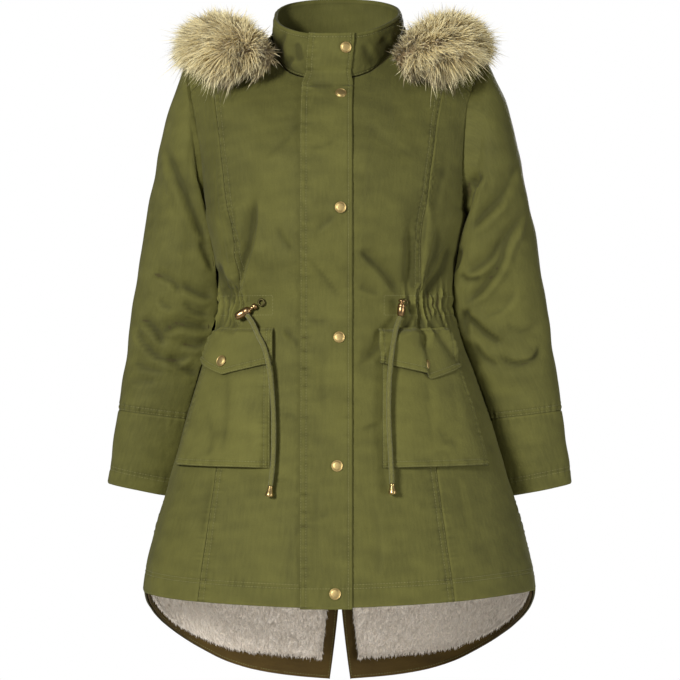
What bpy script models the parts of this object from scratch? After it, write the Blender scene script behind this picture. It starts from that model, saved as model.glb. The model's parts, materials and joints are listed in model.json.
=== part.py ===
"""A fur trimmed parka, worn form, hollow. Metres, +Z up, the wearer faces -Y, so the wearer's left is +X.

The origin is at the neck, level with the high point of the shoulders. Every cloth piece is a wall lofted
through points of one body surface, which is described by levels: each level is a Bezier arc from the
centre line to the side or, above the underarm, to the armhole.
"""

import math
from collections import namedtuple

import bpy
import bmesh
import numpy as np
from mathutils import Quaternion, Vector
from mathutils.bvhtree import BVHTree

# ---- driving sizes ----
WALL = 0.0025
SEAM = 0.0003
YOKE_GAP = 0.0005
BODY_ROWS = 22
LAY = 0.0012
FRONT, BACK = -1, 1
RIGHT, LEFT = -1, 1
SIDE_NAMES = {RIGHT: "right", LEFT: "left"}
Z_UNDERARM = -0.249
UPPER_REACH = 0.23
ROUNDNESS = 0.61
ARMHOLE_MIDDLE_Z, ARMHOLE_HALF_HEIGHT = -0.140, 0.109
ARMHOLE_BULGE = {FRONT: 0.062, BACK: 0.055}
Z_WAIST = -0.378
TURN_FRONT = 0.019
PLACKET_HALF, PLACKET_THICK = 0.0355, 0.003
NECK_HALF, NECK_FRONT, NECK_BACK, NECK_POWER = 0.087, 0.080, 0.054, 0.80
COLLAR_THICK = 0.004
COLLAR_START = 0.052
COLLAR_NARROW = 0.86
COLLAR_GAP_ANGLE = 0.004
SPLIT_TOP_Z, SPLIT_HALF, SPLIT_DROP, SPLIT_FLARE = -0.793, 0.0150, 0.135, 1.3
CORD_THICK = 0.0068

Section = namedtuple("Section", "z half_width front back")
BODY = [
    Section(-0.249, 0.1840, 0.150, 0.115),
    Section(-0.300, 0.1740, 0.143, 0.109),
    Section(-0.340, 0.1685, 0.131, 0.103),
    Section(-0.376, 0.1665, 0.124, 0.101),
    Section(-0.412, 0.1740, 0.128, 0.107),
    Section(-0.466, 0.1920, 0.139, 0.123),
    Section(-0.530, 0.2130, 0.152, 0.142),
    Section(-0.620, 0.2390, 0.166, 0.161),
    Section(-0.700, 0.2630, 0.177, 0.173),
    Section(-0.775, 0.2780, 0.185, 0.183),
    Section(-0.850, 0.2810, 0.189, 0.190),
    Section(-0.940, 0.2810, 0.190, 0.196),
]

Upper = namedtuple("Upper", "share y z reach pull_x pull_y pull_z")
UPPER = {
    FRONT: [
        Upper(0.00, -0.150, -0.249, 0.1122, 0.000, -0.0915, 0.000),
        Upper(0.25, -0.145, -0.180, 0.1100, -0.008, -0.0600, 0.008),
        Upper(0.50, -0.120, -0.115, 0.1000, -0.030, -0.0400, 0.008),
        Upper(0.75, -0.072, -0.052, 0.0850, -0.050, -0.0180, 0.012),
        Upper(1.00, 0.000, 0.014, 0.0680, -0.068, 0.0000, 0.019),
    ],
    BACK: [
        Upper(0.00, 0.115, -0.249, 0.1122, 0.000, 0.0700, 0.000),
        Upper(0.25, 0.115, -0.165, 0.1100, -0.008, 0.0480, 0.012),
        Upper(0.50, 0.104, -0.085, 0.1050, -0.030, 0.0360, 0.016),
        Upper(0.75, 0.074, -0.016, 0.0900, -0.050, 0.0200, 0.018),
        Upper(1.00, 0.000, 0.014, 0.0680, -0.068, 0.0000, 0.019),
    ],
}

Armhole = namedtuple("Armhole", "share front_x back_x")
ARMHOLE = [
    Armhole(0.000, 0.184, 0.184),
    Armhole(0.125, 0.177, 0.181),
    Armhole(0.250, 0.177, 0.184),
    Armhole(0.375, 0.180, 0.188),
    Armhole(0.500, 0.186, 0.192),
    Armhole(0.625, 0.193, 0.197),
    Armhole(0.750, 0.201, 0.203),
    Armhole(0.875, 0.207, 0.208),
    Armhole(1.000, 0.209, 0.209),
]

Turn = namedtuple("Turn", "z side front reach")
TURN = [
    Turn(0.060, 0.002, 0.012, 0.080),
    Turn(0.000, 0.002, 0.012, 0.080),
    Turn(-0.031, 0.004, 0.014, 0.080),
    Turn(-0.075, 0.004, 0.018, 0.085),
    Turn(-0.120, 0.004, 0.019, 0.105),
    Turn(-0.200, 0.005, 0.019, 0.130),
    Turn(-0.378, 0.006, 0.019, 0.125),
    Turn(-0.600, 0.001, 0.019, 0.140),
    Turn(-0.940, 0.000, 0.019, 0.150),
]

SeamPoint = namedtuple("SeamPoint", "z x")
PRINCESS = [
    SeamPoint(-0.040, 0.166),
    SeamPoint(-0.077, 0.160),
    SeamPoint(-0.115, 0.154),
    SeamPoint(-0.159, 0.148),
    SeamPoint(-0.202, 0.142),
    SeamPoint(-0.263, 0.136),
    SeamPoint(-0.315, 0.131),
    SeamPoint(-0.376, 0.128),
    SeamPoint(-0.450, 0.133),
    SeamPoint(-0.530, 0.143),
    SeamPoint(-0.613, 0.153),
    SeamPoint(-0.679, 0.162),
    SeamPoint(-0.764, 0.174),
    SeamPoint(-0.800, 0.178),
]

HemPoint = namedtuple("HemPoint", "across z")
FRONT_HEM = [
    HemPoint(0.0, -0.790),
    HemPoint(0.4, -0.784),
    HemPoint(0.8, -0.779),
    HemPoint(1.0, -0.779),
]
BACK_HEM = [
    HemPoint(0.00, -0.931),
    HemPoint(0.14, -0.925),
    HemPoint(0.26, -0.916),
    HemPoint(0.38, -0.901),
    HemPoint(0.49, -0.881),
    HemPoint(0.61, -0.858),
    HemPoint(0.71, -0.839),
    HemPoint(0.82, -0.818),
    HemPoint(0.93, -0.797),
    HemPoint(1.00, -0.781),
]

Fold = namedtuple("Fold", "face x0 z0 x1 z1 width depth")
FOLDS = [
    Fold(FRONT, -0.118, -0.220, -0.146, -0.376, 0.013, 0.0060),
    Fold(FRONT, 0.104, -0.220, 0.099, -0.376, 0.013, 0.0060),
    Fold(FRONT, 0.016, -0.286, 0.086, -0.362, 0.014, 0.0050),
    Fold(FRONT, 0.152, -0.290, 0.122, -0.374, 0.012, 0.0045),
    Fold(FRONT, 0.082, -0.392, 0.015, -0.460, 0.013, 0.0045),
    Fold(FRONT, 0.112, -0.382, 0.116, -0.440, 0.010, 0.0050),
    Fold(FRONT, -0.046, -0.310, 0.004, -0.372, 0.012, 0.0030),
    Fold(FRONT, -0.160, -0.384, -0.159, -0.408, 0.010, 0.0035),
    Fold(BACK, -0.110, -0.300, -0.085, -0.378, 0.014, 0.0055),
    Fold(BACK, 0.105, -0.290, 0.090, -0.378, 0.014, 0.0055),
    Fold(BACK, -0.030, -0.320, -0.040, -0.378, 0.013, 0.0045),
    Fold(BACK, 0.040, -0.380, 0.052, -0.470, 0.014, 0.0045),
    Fold(BACK, -0.075, -0.380, -0.095, -0.500, 0.015, 0.0050),
    Fold(BACK, 0.120, -0.380, 0.142, -0.480, 0.014, 0.0045),
]
WAIST_PINCH, WAIST_PINCH_HALF = 0.0035, 0.012

Ring = namedtuple("Ring", "outer_x outer_z inner_x inner_z y depth")
SLEEVE = [
    Ring(0.2155, -0.036, 0.187, -0.253, 0.001, 0.064),
    Ring(0.2240, -0.054, 0.184, -0.259, 0.003, 0.068),
    Ring(0.2375, -0.086, 0.176, -0.270, 0.006, 0.071),
    Ring(0.2495, -0.130, 0.167, -0.288, 0.010, 0.072),
    Ring(0.2615, -0.185, 0.158, -0.314, 0.016, 0.071),
    Ring(0.2735, -0.245, 0.149, -0.346, 0.023, 0.069),
    Ring(0.2862, -0.315, 0.144, -0.385, 0.031, 0.066),
    Ring(0.2985, -0.390, 0.150, -0.432, 0.038, 0.061),
    Ring(0.3090, -0.460, 0.172, -0.486, 0.045, 0.056),
    Ring(0.3185, -0.526, 0.196, -0.541, 0.051, 0.052),
]
CUFF = [
    Ring(0.3186, -0.5263, 0.1961, -0.5413, 0.051, 0.052),
    Ring(0.3250, -0.564, 0.2095, -0.580, 0.055, 0.049),
    Ring(0.3300, -0.598, 0.2225, -0.616, 0.059, 0.046),
    Ring(0.3345, -0.632, 0.2350, -0.652, 0.064, 0.043),
]
SLEEVE_CLEAR = 0.0024
SHOULDER_TURN = 0.004
SLEEVE_SQUARE = 2.3

HoodPoint = namedtuple("HoodPoint", "x y z")
HOOD = [
    [HoodPoint(0.088, -0.024, -0.002), HoodPoint(0.091, -0.025, -0.002), HoodPoint(0.094, -0.027, -0.003),
     HoodPoint(0.097, -0.028, -0.003), HoodPoint(0.100, -0.029, -0.003), HoodPoint(0.102, -0.030, -0.002)],
    [HoodPoint(0.089, 0.006, 0.007), HoodPoint(0.094, 0.007, 0.005), HoodPoint(0.100, 0.009, 0.002),
     HoodPoint(0.106, 0.010, 0.001), HoodPoint(0.111, 0.011, 0.002), HoodPoint(0.115, 0.012, 0.005)],
    [HoodPoint(0.076, 0.036, 0.008), HoodPoint(0.092, 0.050, -0.006), HoodPoint(0.108, 0.072, -0.040),
     HoodPoint(0.124, 0.086, -0.046), HoodPoint(0.132, 0.082, -0.032), HoodPoint(0.130, 0.068, -0.014)],
    [HoodPoint(0.054, 0.056, 0.011), HoodPoint(0.074, 0.088, -0.030), HoodPoint(0.090, 0.124, -0.136),
     HoodPoint(0.110, 0.148, -0.146), HoodPoint(0.118, 0.146, -0.104), HoodPoint(0.114, 0.120, -0.052)],
    [HoodPoint(0.028, 0.064, 0.012), HoodPoint(0.042, 0.106, -0.050), HoodPoint(0.056, 0.134, -0.210),
     HoodPoint(0.068, 0.168, -0.222), HoodPoint(0.072, 0.180, -0.150), HoodPoint(0.064, 0.152, -0.079)],
    [HoodPoint(0.000, 0.067, 0.012), HoodPoint(0.000, 0.112, -0.060), HoodPoint(0.000, 0.138, -0.236),
     HoodPoint(0.000, 0.178, -0.250), HoodPoint(0.000, 0.194, -0.165), HoodPoint(0.000, 0.160, -0.083)],
]
HOOD_CLEAR, HOOD_SEAM_CLEAR = 0.0050, 0.0022

FurPoint = namedtuple("FurPoint", "x y z radius")
FUR = [
    FurPoint(0.094, -0.082, -0.042, 0.024),
    FurPoint(0.115, -0.090, -0.028, 0.042),
    FurPoint(0.140, -0.082, -0.022, 0.053),
    FurPoint(0.161, -0.046, -0.015, 0.055),
    FurPoint(0.172, 0.012, -0.010, 0.052),
    FurPoint(0.171, 0.070, -0.012, 0.047),
    FurPoint(0.154, 0.124, -0.022, 0.042),
    FurPoint(0.120, 0.158, -0.036, 0.039),
    FurPoint(0.070, 0.172, -0.044, 0.038),
    FurPoint(0.000, 0.178, -0.046, 0.038),
]
FUR_SHIFT = 0.008
BODY_HEART = Vector((0.0, 0.01, -0.13))
FUR_CLEAR = 0.0024

Route = namedtuple("Route", "x z lift")
CORD_ROUTES = {
    RIGHT: [
        Route(-0.1235, -0.3935, 0.0103),
        Route(-0.1180, -0.4010, 0.0108),
        Route(-0.1130, -0.4095, 0.0128),
        Route(-0.1070, -0.4240, 0.0150),
        Route(-0.1000, -0.4380, 0.0156),
        Route(-0.0965, -0.4520, 0.0154),
        Route(-0.0935, -0.4660, 0.0150),
        Route(-0.0915, -0.4830, 0.0138),
        Route(-0.0900, -0.5030, 0.0118),
        Route(-0.0890, -0.5250, 0.0103),
        Route(-0.0885, -0.5450, 0.0098),
        Route(-0.0885, -0.5650, 0.0098),
        Route(-0.0890, -0.5830, 0.0098),
        Route(-0.0903, -0.6050, 0.0098),
        Route(-0.0930, -0.6255, 0.0093),
    ],
    LEFT: [
        Route(0.0795, -0.3960, 0.0103),
        Route(0.0765, -0.4030, 0.0118),
        Route(0.0730, -0.4120, 0.0143),
        Route(0.0700, -0.4260, 0.0156),
        Route(0.0672, -0.4420, 0.0156),
        Route(0.0655, -0.4600, 0.0152),
        Route(0.0642, -0.4770, 0.0143),
        Route(0.0636, -0.4940, 0.0138),
        Route(0.0632, -0.5150, 0.0136),
        Route(0.0634, -0.5350, 0.0136),
        Route(0.0642, -0.5550, 0.0136),
        Route(0.0654, -0.5750, 0.0136),
        Route(0.0666, -0.5970, 0.0128),
        Route(0.0684, -0.6225, 0.0108),
    ],
}

SnapPlace = namedtuple("SnapPlace", "name x z")
SNAPS = [
    SnapPlace("snap_2", 0.0012, -0.087),
    SnapPlace("snap_3", 0.0, -0.245),
    SnapPlace("snap_4", -0.0014, -0.423),
    SnapPlace("snap_5", -0.0040, -0.598),
    SnapPlace("snap_6", -0.0067, -0.770),
]

PaintRow = namedtuple("PaintRow", "red green blue roughness metallic")
PAINTS = {
    "shell": PaintRow(0.130, 0.135, 0.040, 0.75, 0.0),
    "facing": PaintRow(0.070, 0.045, 0.012, 0.75, 0.0),
    "fleece": PaintRow(0.560, 0.480, 0.400, 0.95, 0.0),
    "fur": PaintRow(0.520, 0.420, 0.250, 0.90, 0.0),
    "cord": PaintRow(0.170, 0.170, 0.060, 0.80, 0.0),
    "snap": PaintRow(0.560, 0.380, 0.130, 0.35, 1.0),
    "hardware": PaintRow(0.620, 0.420, 0.230, 0.22, 1.0),
}


class Profile:
    """A smooth curve through (position, value) rows that never overshoots them."""

    def __init__(self, rows, position, value, flat_end=False):
        pairs = sorted((getattr(row, position), getattr(row, value)) for row in rows)
        self.at = [pair[0] for pair in pairs]
        self.value = [pair[1] for pair in pairs]
        slopes = [
            (self.value[i + 1] - self.value[i]) / (self.at[i + 1] - self.at[i])
            for i in range(len(pairs) - 1)
        ]
        self.slope = [slopes[0]]
        for before, after in zip(slopes, slopes[1:]):
            same_way = before * after > 0
            self.slope.append(2 * before * after / (before + after) if same_way else 0.0)
        self.slope.append(0.0 if flat_end else slopes[-1])

    def __call__(self, position):
        if position <= self.at[0]:
            return self.value[0]
        if position >= self.at[-1]:
            return self.value[-1]
        i = 0
        while position > self.at[i + 1]:
            i += 1
        span = self.at[i + 1] - self.at[i]
        t = (position - self.at[i]) / span
        return (
            (1 + 2 * t) * (1 - t) ** 2 * self.value[i]
            + t * (1 - t) ** 2 * span * self.slope[i]
            + t * t * (3 - 2 * t) * self.value[i + 1]
            + t * t * (t - 1) * span * self.slope[i + 1]
        )


half_width_at = Profile(BODY, "z", "half_width")
depth_at = {FRONT: Profile(BODY, "z", "front"), BACK: Profile(BODY, "z", "back")}
upper_at = {
    face: {name: Profile(rows, "share", name, name.endswith("z")) for name in Upper._fields[1:]}
    for face, rows in UPPER.items()
}
armhole_x = {
    FRONT: Profile(ARMHOLE, "share", "front_x"),
    BACK: Profile(ARMHOLE, "share", "back_x"),
}
turn_side = Profile(TURN, "z", "side")
turn_front = Profile(TURN, "z", "front")
turn_reach = Profile(TURN, "z", "reach")
princess_x = Profile(PRINCESS, "z", "x")
front_hem_z = Profile(FRONT_HEM, "across", "z")
back_hem_z = Profile(BACK_HEM, "across", "z")


def smooth(t):
    """An S curve from 0 to 1."""
    t = min(max(t, 0.0), 1.0)
    return t * t * (3 - 2 * t)


def solve(function, low, high):
    """The place between low and high where a rising function passes zero."""
    for _ in range(26):
        middle = (low + high) / 2
        if function(middle) < 0:
            low = middle
        else:
            high = middle
    return (low + high) / 2


# ---- the body surface ----
def armhole_point(face, share):
    """A point of the armhole, from the underarm (share 0) to the shoulder point (share 1)."""
    y = face * ARMHOLE_BULGE[face] * math.sin(math.pi * share)
    z = ARMHOLE_MIDDLE_Z - ARMHOLE_HALF_HEIGHT * math.cos(math.pi * share)
    return np.array((armhole_x[face](share), y, z))


def level_arc(face, level):
    """The four Bezier points of a level: metres below the underarm are negative, above it positive."""
    if level <= 0:
        z = Z_UNDERARM + level
        width = half_width_at(z)
        y = face * depth_at[face](z)
        return (
            np.array((0.0, y, z)),
            np.array((ROUNDNESS * width, y, z)),
            np.array((width, ROUNDNESS * y, z)),
            np.array((width, 0.0, z)),
        )
    share = min(level / UPPER_REACH, 1.0)
    upper = upper_at[face]
    centre = np.array((0.0, upper["y"](share), upper["z"](share)))
    edge = armhole_point(face, share)
    drop = -0.008 * smooth(2 * share - 1)
    pull = np.array([upper[name](share) for name in ("pull_x", "pull_y", "pull_z")])
    return centre, centre + (upper["reach"](share), 0.0, drop), edge + pull, edge


def untwisted(face, across, level):
    """A point of the symmetric body surface on the +X side."""
    a, b, c, d = level_arc(face, level)
    u, v = across, 1 - across
    return v**3 * a + 3 * v * v * u * b + 3 * v * u * u * c + u**3 * d


def turned(point):
    """The body hangs a little turned on its wearer, so the centre front lies to the right."""
    x, y, z = point
    side = turn_side(z)
    if y < 0:
        shift = side + (turn_front(z) - side) * smooth(-y / turn_reach(z))
    else:
        shift = side * (1 - smooth(y / 0.10))
    return np.array((x - shift, y, z))


def relief(face, x, z):
    """How deep the drawn waist and the large folds lie below the smooth surface."""
    free = 1.0
    if face == FRONT:
        free = smooth((abs(x + TURN_FRONT) - PLACKET_HALF - 0.006) / 0.030)
    depth = WAIST_PINCH * free * math.exp(-(((z - Z_WAIST) / WAIST_PINCH_HALF) ** 2))
    for fold in FOLDS:
        if fold.face != face:
            continue
        run = (fold.x1 - fold.x0, fold.z1 - fold.z0)
        length2 = run[0] ** 2 + run[1] ** 2
        along = ((x - fold.x0) * run[0] + (z - fold.z0) * run[1]) / length2
        held = min(max(along, 0.0), 1.0)
        away2 = (x - fold.x0 - held * run[0]) ** 2 + (z - fold.z0 - held * run[1]) ** 2
        fade = smooth((along + 0.15) / 0.5) * smooth((1.12 - along) / 0.25)
        depth += fold.depth * free * fade * math.exp(-away2 / fold.width**2)
    return depth


def smooth_point(face, side, across, level):
    """A point of the body surface without its folds."""
    point = untwisted(face, across, level)
    point[0] *= side
    return turned(point)


def surface(face, side, across, level):
    """(point, outward normal) of the body surface, folds in it."""
    step_u, step_l = 0.004, 0.002
    u0, u1 = max(across - step_u, 0.0), min(across + step_u, 1.0)
    l0, l1 = level - step_l, min(level + step_l, UPPER_REACH)
    along_u = smooth_point(face, side, u1, level) - smooth_point(face, side, u0, level)
    along_l = smooth_point(face, side, across, l1) - smooth_point(face, side, across, l0)
    normal = np.cross(along_u, along_l)
    normal /= np.linalg.norm(normal)
    point = smooth_point(face, side, across, level)
    middle = np.array((0.0, 0.0, min(point[2] - 0.01, -0.15)))
    if normal @ (point - middle) < 0:
        normal = -normal
    return point - normal * relief(face, point[0], point[2]), normal


def level_of(z):
    return z - Z_UNDERARM


def across_of_x(face, level, x):
    """Where a level passes the distance x from the centre line of the symmetric surface."""
    return solve(lambda u: untwisted(face, u, level)[0] - x, 0.0, 1.0)


def across_princess(level):
    def beyond(u):
        point = untwisted(FRONT, u, level)
        return point[0] - princess_x(point[2])

    return solve(beyond, 0.0, 1.0)


def share_of_width(face, level, metres, across):
    """How far in the across value a distance in metres reaches."""
    a = untwisted(face, max(across - 0.01, 0.0), level)
    b = untwisted(face, min(across + 0.01, 1.0), level)
    step = min(across + 0.01, 1.0) - max(across - 0.01, 0.0)
    return metres * step / np.linalg.norm(b - a)


def place_xz(side_x, z, out):
    """(point, normal) over the front where the turned garment is at side_x, z below the underarm."""
    level = level_of(z)

    def beyond(signed):
        side = LEFT if signed >= 0 else RIGHT
        return smooth_point(FRONT, side, abs(signed), level)[0] - side_x

    signed = solve(beyond, -1.0, 1.0)
    side = LEFT if signed >= 0 else RIGHT
    point, normal = surface(FRONT, side, abs(signed), level)
    return point + normal * out, normal


# ---- the neckline ----
def squared(value):
    """A sine or cosine turned into that of a rounded square."""
    return math.copysign(abs(value) ** NECK_POWER, value)


def neck_target(angle):
    """Plan position of the neckline, from the centre front (0) to the centre back (pi)."""
    reach = NECK_FRONT if math.cos(angle) > 0 else NECK_BACK
    return NECK_HALF * squared(math.sin(angle)), -reach * squared(math.cos(angle))


def neck_place(angle):
    """(face, across, level) of the neckline at an angle."""
    x, y = neck_target(angle)
    face = FRONT if y < 0 else BACK

    def across_at(level):
        return across_of_x(face, level, x)

    def beyond(level):
        return abs(y) - abs(untwisted(face, across_at(level), level)[1])

    level = solve(beyond, 0.5 * UPPER_REACH, UPPER_REACH)
    return face, across_at(level), level


NECK_STEPS = 16
YOKE_NECK_ANGLE = 1.22
YOKE_EDGE_LEVEL = {FRONT: 0.69 * UPPER_REACH, BACK: 0.60 * UPPER_REACH}
YOKE_CENTRE_BACK_LEVEL = 0.56 * UPPER_REACH
NECK = [neck_place(math.pi * i / NECK_STEPS) for i in range(NECK_STEPS + 1)]
YOKE_NECK = neck_place(YOKE_NECK_ANGLE)


def front_top(across):
    """The level where a front panel ends: the neckline, then the yoke seam."""
    if across < YOKE_NECK[1]:
        rows = [place for place in NECK if place[0] == FRONT and place[1] < YOKE_NECK[1]] + [YOKE_NECK]
        rows = [(row[1], row[2]) for row in rows]
        for (u0, l0), (u1, l1) in zip(rows, rows[1:]):
            if across <= u1:
                return l0 + (l1 - l0) * max(across - u0, 0.0) / (u1 - u0)
        return rows[-1][1]
    share = (across - YOKE_NECK[1]) / (1 - YOKE_NECK[1])
    return YOKE_NECK[2] + (YOKE_EDGE_LEVEL[FRONT] - YOKE_NECK[2]) * share


def back_top(across):
    """The level of the back yoke seam."""
    return YOKE_CENTRE_BACK_LEVEL + (YOKE_EDGE_LEVEL[BACK] - YOKE_CENTRE_BACK_LEVEL) * across


# ---- meshes ----
def new_object(name, bm, paint):
    bmesh.ops.recalc_face_normals(bm, faces=bm.faces)
    if bm.calc_volume(signed=True) < 0:
        bmesh.ops.reverse_faces(bm, faces=bm.faces)
    mesh = bpy.data.meshes.new(name)
    bm.to_mesh(mesh)
    bm.free()
    mesh.shade_smooth()
    mesh.set_sharp_from_angle(angle=math.radians(50))
    made = bpy.data.objects.new(name, mesh)
    PARKA.objects.link(made)
    mesh.materials.append(material(name, paint))
    return made


def material(name, paint):
    row = PAINTS[paint]
    made = bpy.data.materials.new(f"{name} {paint}")
    made.use_nodes = True
    shader = made.node_tree.nodes["Principled BSDF"]
    shader.inputs["Base Color"].default_value = (row.red, row.green, row.blue, 1.0)
    shader.inputs["Roughness"].default_value = row.roughness
    shader.inputs["Metallic"].default_value = row.metallic
    return made


def grid_faces(bm, grid, around):
    rows = [[bm.verts.new(point) for point in row] for row in grid]
    width = len(rows[0])
    for lower, upper in zip(rows, rows[1:]):
        for i in range(width if around else width - 1):
            j = (i + 1) % width
            bm.faces.new((lower[i], lower[j], upper[j], upper[i]))
    return rows


def wall(name, outer, inner, paint, around=False):
    """A closed wall between two grids of points; around joins the last column to the first."""
    bm = bmesh.new()
    outside = grid_faces(bm, outer, around)
    inside = grid_faces(bm, inner, around)
    width = len(outside[0])
    for a, b in ((outside[0], inside[0]), (outside[-1], inside[-1])):
        for i in range(width if around else width - 1):
            j = (i + 1) % width
            bm.faces.new((a[i], a[j], b[j], b[i]))
    if not around:
        for end in (0, -1):
            for k in range(len(outside) - 1):
                a, b = outside[k][end], outside[k + 1][end]
                bm.faces.new((a, b, inside[k + 1][end], inside[k][end]))
    return new_object(name, bm, paint)


def panel(name, face, side, inner_edge, outer_edge, bottom, top, rows, columns, paint="shell",
          out=0.0, thick=WALL):
    """A body panel: its edges are across values at a level, its bottom and top levels at an across value."""
    outer, inner = [], []
    for j in range(rows + 1):
        outer_row, inner_row = [], []
        for i in range(columns + 1):
            share = i / columns
            across = share
            for _ in range(4):
                low, high = bottom(across), top(across)
                level = low + (high - low) * j / rows
                across = inner_edge(level) + (outer_edge(level) - inner_edge(level)) * share
            point, normal = surface(face, side, across, level)
            outer_row.append(point + normal * out)
            inner_row.append(point + normal * (out - thick))
        outer.append(outer_row)
        inner.append(inner_row)
    return wall(name, outer, inner, paint)


def centre_front(level):
    return share_of_width(FRONT, level, SEAM / 2, 0.0)


def princess_inner(level):
    across = across_princess(level)
    return across - share_of_width(FRONT, level, SEAM / 2, across)


def princess_outer(level):
    across = across_princess(level)
    return across + share_of_width(FRONT, level, SEAM / 2, across)


def side_edge(face):
    return lambda level: 1 - share_of_width(face, level, SEAM / 2, 1.0)


def split_half(z):
    """Half of the gap at the centre back: a seam's gap, then the fishtail's split."""
    return SEAM / 2 + SPLIT_HALF * (max(SPLIT_TOP_Z - z, 0.0) / SPLIT_DROP) ** SPLIT_FLARE


def centre_back(level):
    z = Z_UNDERARM + level
    return share_of_width(BACK, level, split_half(z), 0.0)


def make_body():
    for side, name in SIDE_NAMES.items():
        panel(f"front_{name}", FRONT, side, centre_front, princess_inner,
              lambda u: level_of(front_hem_z(u)), lambda u: front_top(u) - YOKE_GAP, BODY_ROWS, 8)
        panel(f"side_front_{name}", FRONT, side, princess_outer, side_edge(FRONT),
              lambda u: level_of(front_hem_z(u)), lambda u: front_top(u) - YOKE_GAP, BODY_ROWS, 4)
        panel(f"back_{name}", BACK, side, centre_back, side_edge(BACK),
              lambda u: level_of(back_hem_z(u)), lambda u: back_top(u) - YOKE_GAP, BODY_ROWS, 10)


def over_the_shoulder(side, across, level):
    """The surface where levels past the shoulder ridge run down the back."""
    if level <= UPPER_REACH:
        return surface(FRONT, side, across, level)
    return surface(BACK, side, across, 2 * UPPER_REACH - level)


def yoke_inner_edge(share):
    """(across, level) along the neckline and then down the centre back."""
    corner = 0.72
    if share <= corner:
        angle = YOKE_NECK_ANGLE + (math.pi - YOKE_NECK_ANGLE) * share / corner
        face, across, level = neck_place(min(angle, math.pi - 0.002))
        gap = share_of_width(face, level, SEAM / 2, across)
        return max(across, gap), level if face == FRONT else 2 * UPPER_REACH - level
    nape = neck_place(math.pi - 0.002)[2]
    level = nape + (YOKE_CENTRE_BACK_LEVEL + SEAM / 2 - nape) * (share - corner) / (1 - corner)
    return centre_back(level), 2 * UPPER_REACH - level


def make_yokes():
    rows, columns = 12, 6
    for side, name in SIDE_NAMES.items():
        outer, inner = [], []
        for j in range(rows + 1):
            share = j / rows
            u0, l0 = yoke_inner_edge(share)
            first = YOKE_EDGE_LEVEL[FRONT] + SEAM / 2
            last = 2 * UPPER_REACH - YOKE_EDGE_LEVEL[BACK] - SEAM / 2
            if j == 0:
                l0 += SEAM / 2
            l1 = first + (last - first) * share
            outer_row, inner_row = [], []
            for i in range(columns + 1):
                t = i / columns
                point, normal = over_the_shoulder(side, u0 + (1 - u0) * t, l0 + (l1 - l0) * t)
                outer_row.append(point)
                inner_row.append(point - normal * WALL)
            outer.append(outer_row)
            inner.append(inner_row)
        wall(f"yoke_{name}", outer, inner, "shell")


# ---- collar and placket ----
def collar_point(angle, height):
    """A point of the collar's outer surface; angle runs from -pi to pi, 0 at the centre front."""
    side = LEFT if angle >= 0 else RIGHT
    face, across, level = neck_place(abs(angle)) if abs(angle) > 1e-6 else (FRONT, 0.0, NECK[0][2])
    base = smooth_point(face, side, across, level)
    back = math.cos(angle) < 0
    top = turned(np.array((
        0.090 * squared(math.sin(angle)),
        -(0.064 if back else 0.087) * squared(math.cos(angle)),
        0.0320 - 0.0330 * math.cos(angle) + 0.006 * math.sin(angle) ** 2,
    )))
    lean = 0.004 * math.sin(math.pi * height)
    out = np.array((math.sin(angle), -math.cos(angle), 0.0))
    return base + (top - base) * height + out * lean, out


def make_collar():
    steps, heights = 27, 4
    outer, inner = [], []
    for j in range(heights + 1):
        height = COLLAR_START + (1 - COLLAR_START) * j / heights
        outer_row, inner_row = [], []
        for i in range(steps + 1):
            angle = COLLAR_GAP_ANGLE + 2 * (math.pi - COLLAR_GAP_ANGLE) * i / steps
            if angle > math.pi:
                angle -= 2 * math.pi
            point, out = collar_point(angle, height)
            outer_row.append(point)
            inner_row.append(point - out * COLLAR_THICK)
        outer.append(outer_row)
        inner.append(inner_row)
    wall("collar", outer, inner, "shell")


def collar_angle_of(offset):
    """The collar's angle at a distance from the centre front."""
    return math.copysign(math.asin(abs(offset / 0.0885) ** (1 / NECK_POWER)), offset)


def make_placket():
    columns = 4
    body_steps, collar_steps = BODY_ROWS, 4
    hem = front_hem_z(0.0) - 0.001
    outer, inner = [], []
    for j in range(body_steps + collar_steps + 2):
        outer_row, inner_row = [], []
        for i in range(columns + 1):
            offset = PLACKET_HALF * (2 * i / columns - 1)
            level_neck = front_top(across_of_x(FRONT, NECK[0][2], abs(offset)))
            if j <= body_steps:
                level = level_of(hem) + (level_neck - 0.010 - level_of(hem)) * j / body_steps
                side = LEFT if offset >= 0 else RIGHT
                across = across_of_x(FRONT, level, abs(offset))
                point, normal = surface(FRONT, side, across, level)
                lift = LAY
            elif j == body_steps + 1:
                point, normal = collar_point(collar_angle_of(offset * COLLAR_NARROW), 0.10)
                normal = normal + np.array((0.0, 0.0, 0.45))
                normal /= np.linalg.norm(normal)
                lift = 2.2 * LAY
            else:
                height = 0.10 + 0.92 * (j - body_steps - 1) / collar_steps
                point, normal = collar_point(collar_angle_of(offset * COLLAR_NARROW), height)
                lift = 1.4 * LAY
            outer_row.append(point + normal * (lift + PLACKET_THICK))
            inner_row.append(point + normal * lift)
        outer.append(outer_row)
        inner.append(inner_row)
    wall("placket", outer, inner, "shell")


# ---- sleeves ----
def body_side_x(side, y, z):
    """Where the body's side is, in X, at a depth and height below the underarm."""
    level = level_of(min(z, Z_UNDERARM))
    face = FRONT if y < 0 else BACK
    if abs(y) >= abs(untwisted(face, 0.0, level)[1]):
        return 0.0
    across = solve(lambda u: abs(y) - abs(untwisted(face, u, level)[1]), 0.0, 1.0)
    return smooth_point(face, side, across, level)[0] * side


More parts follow.
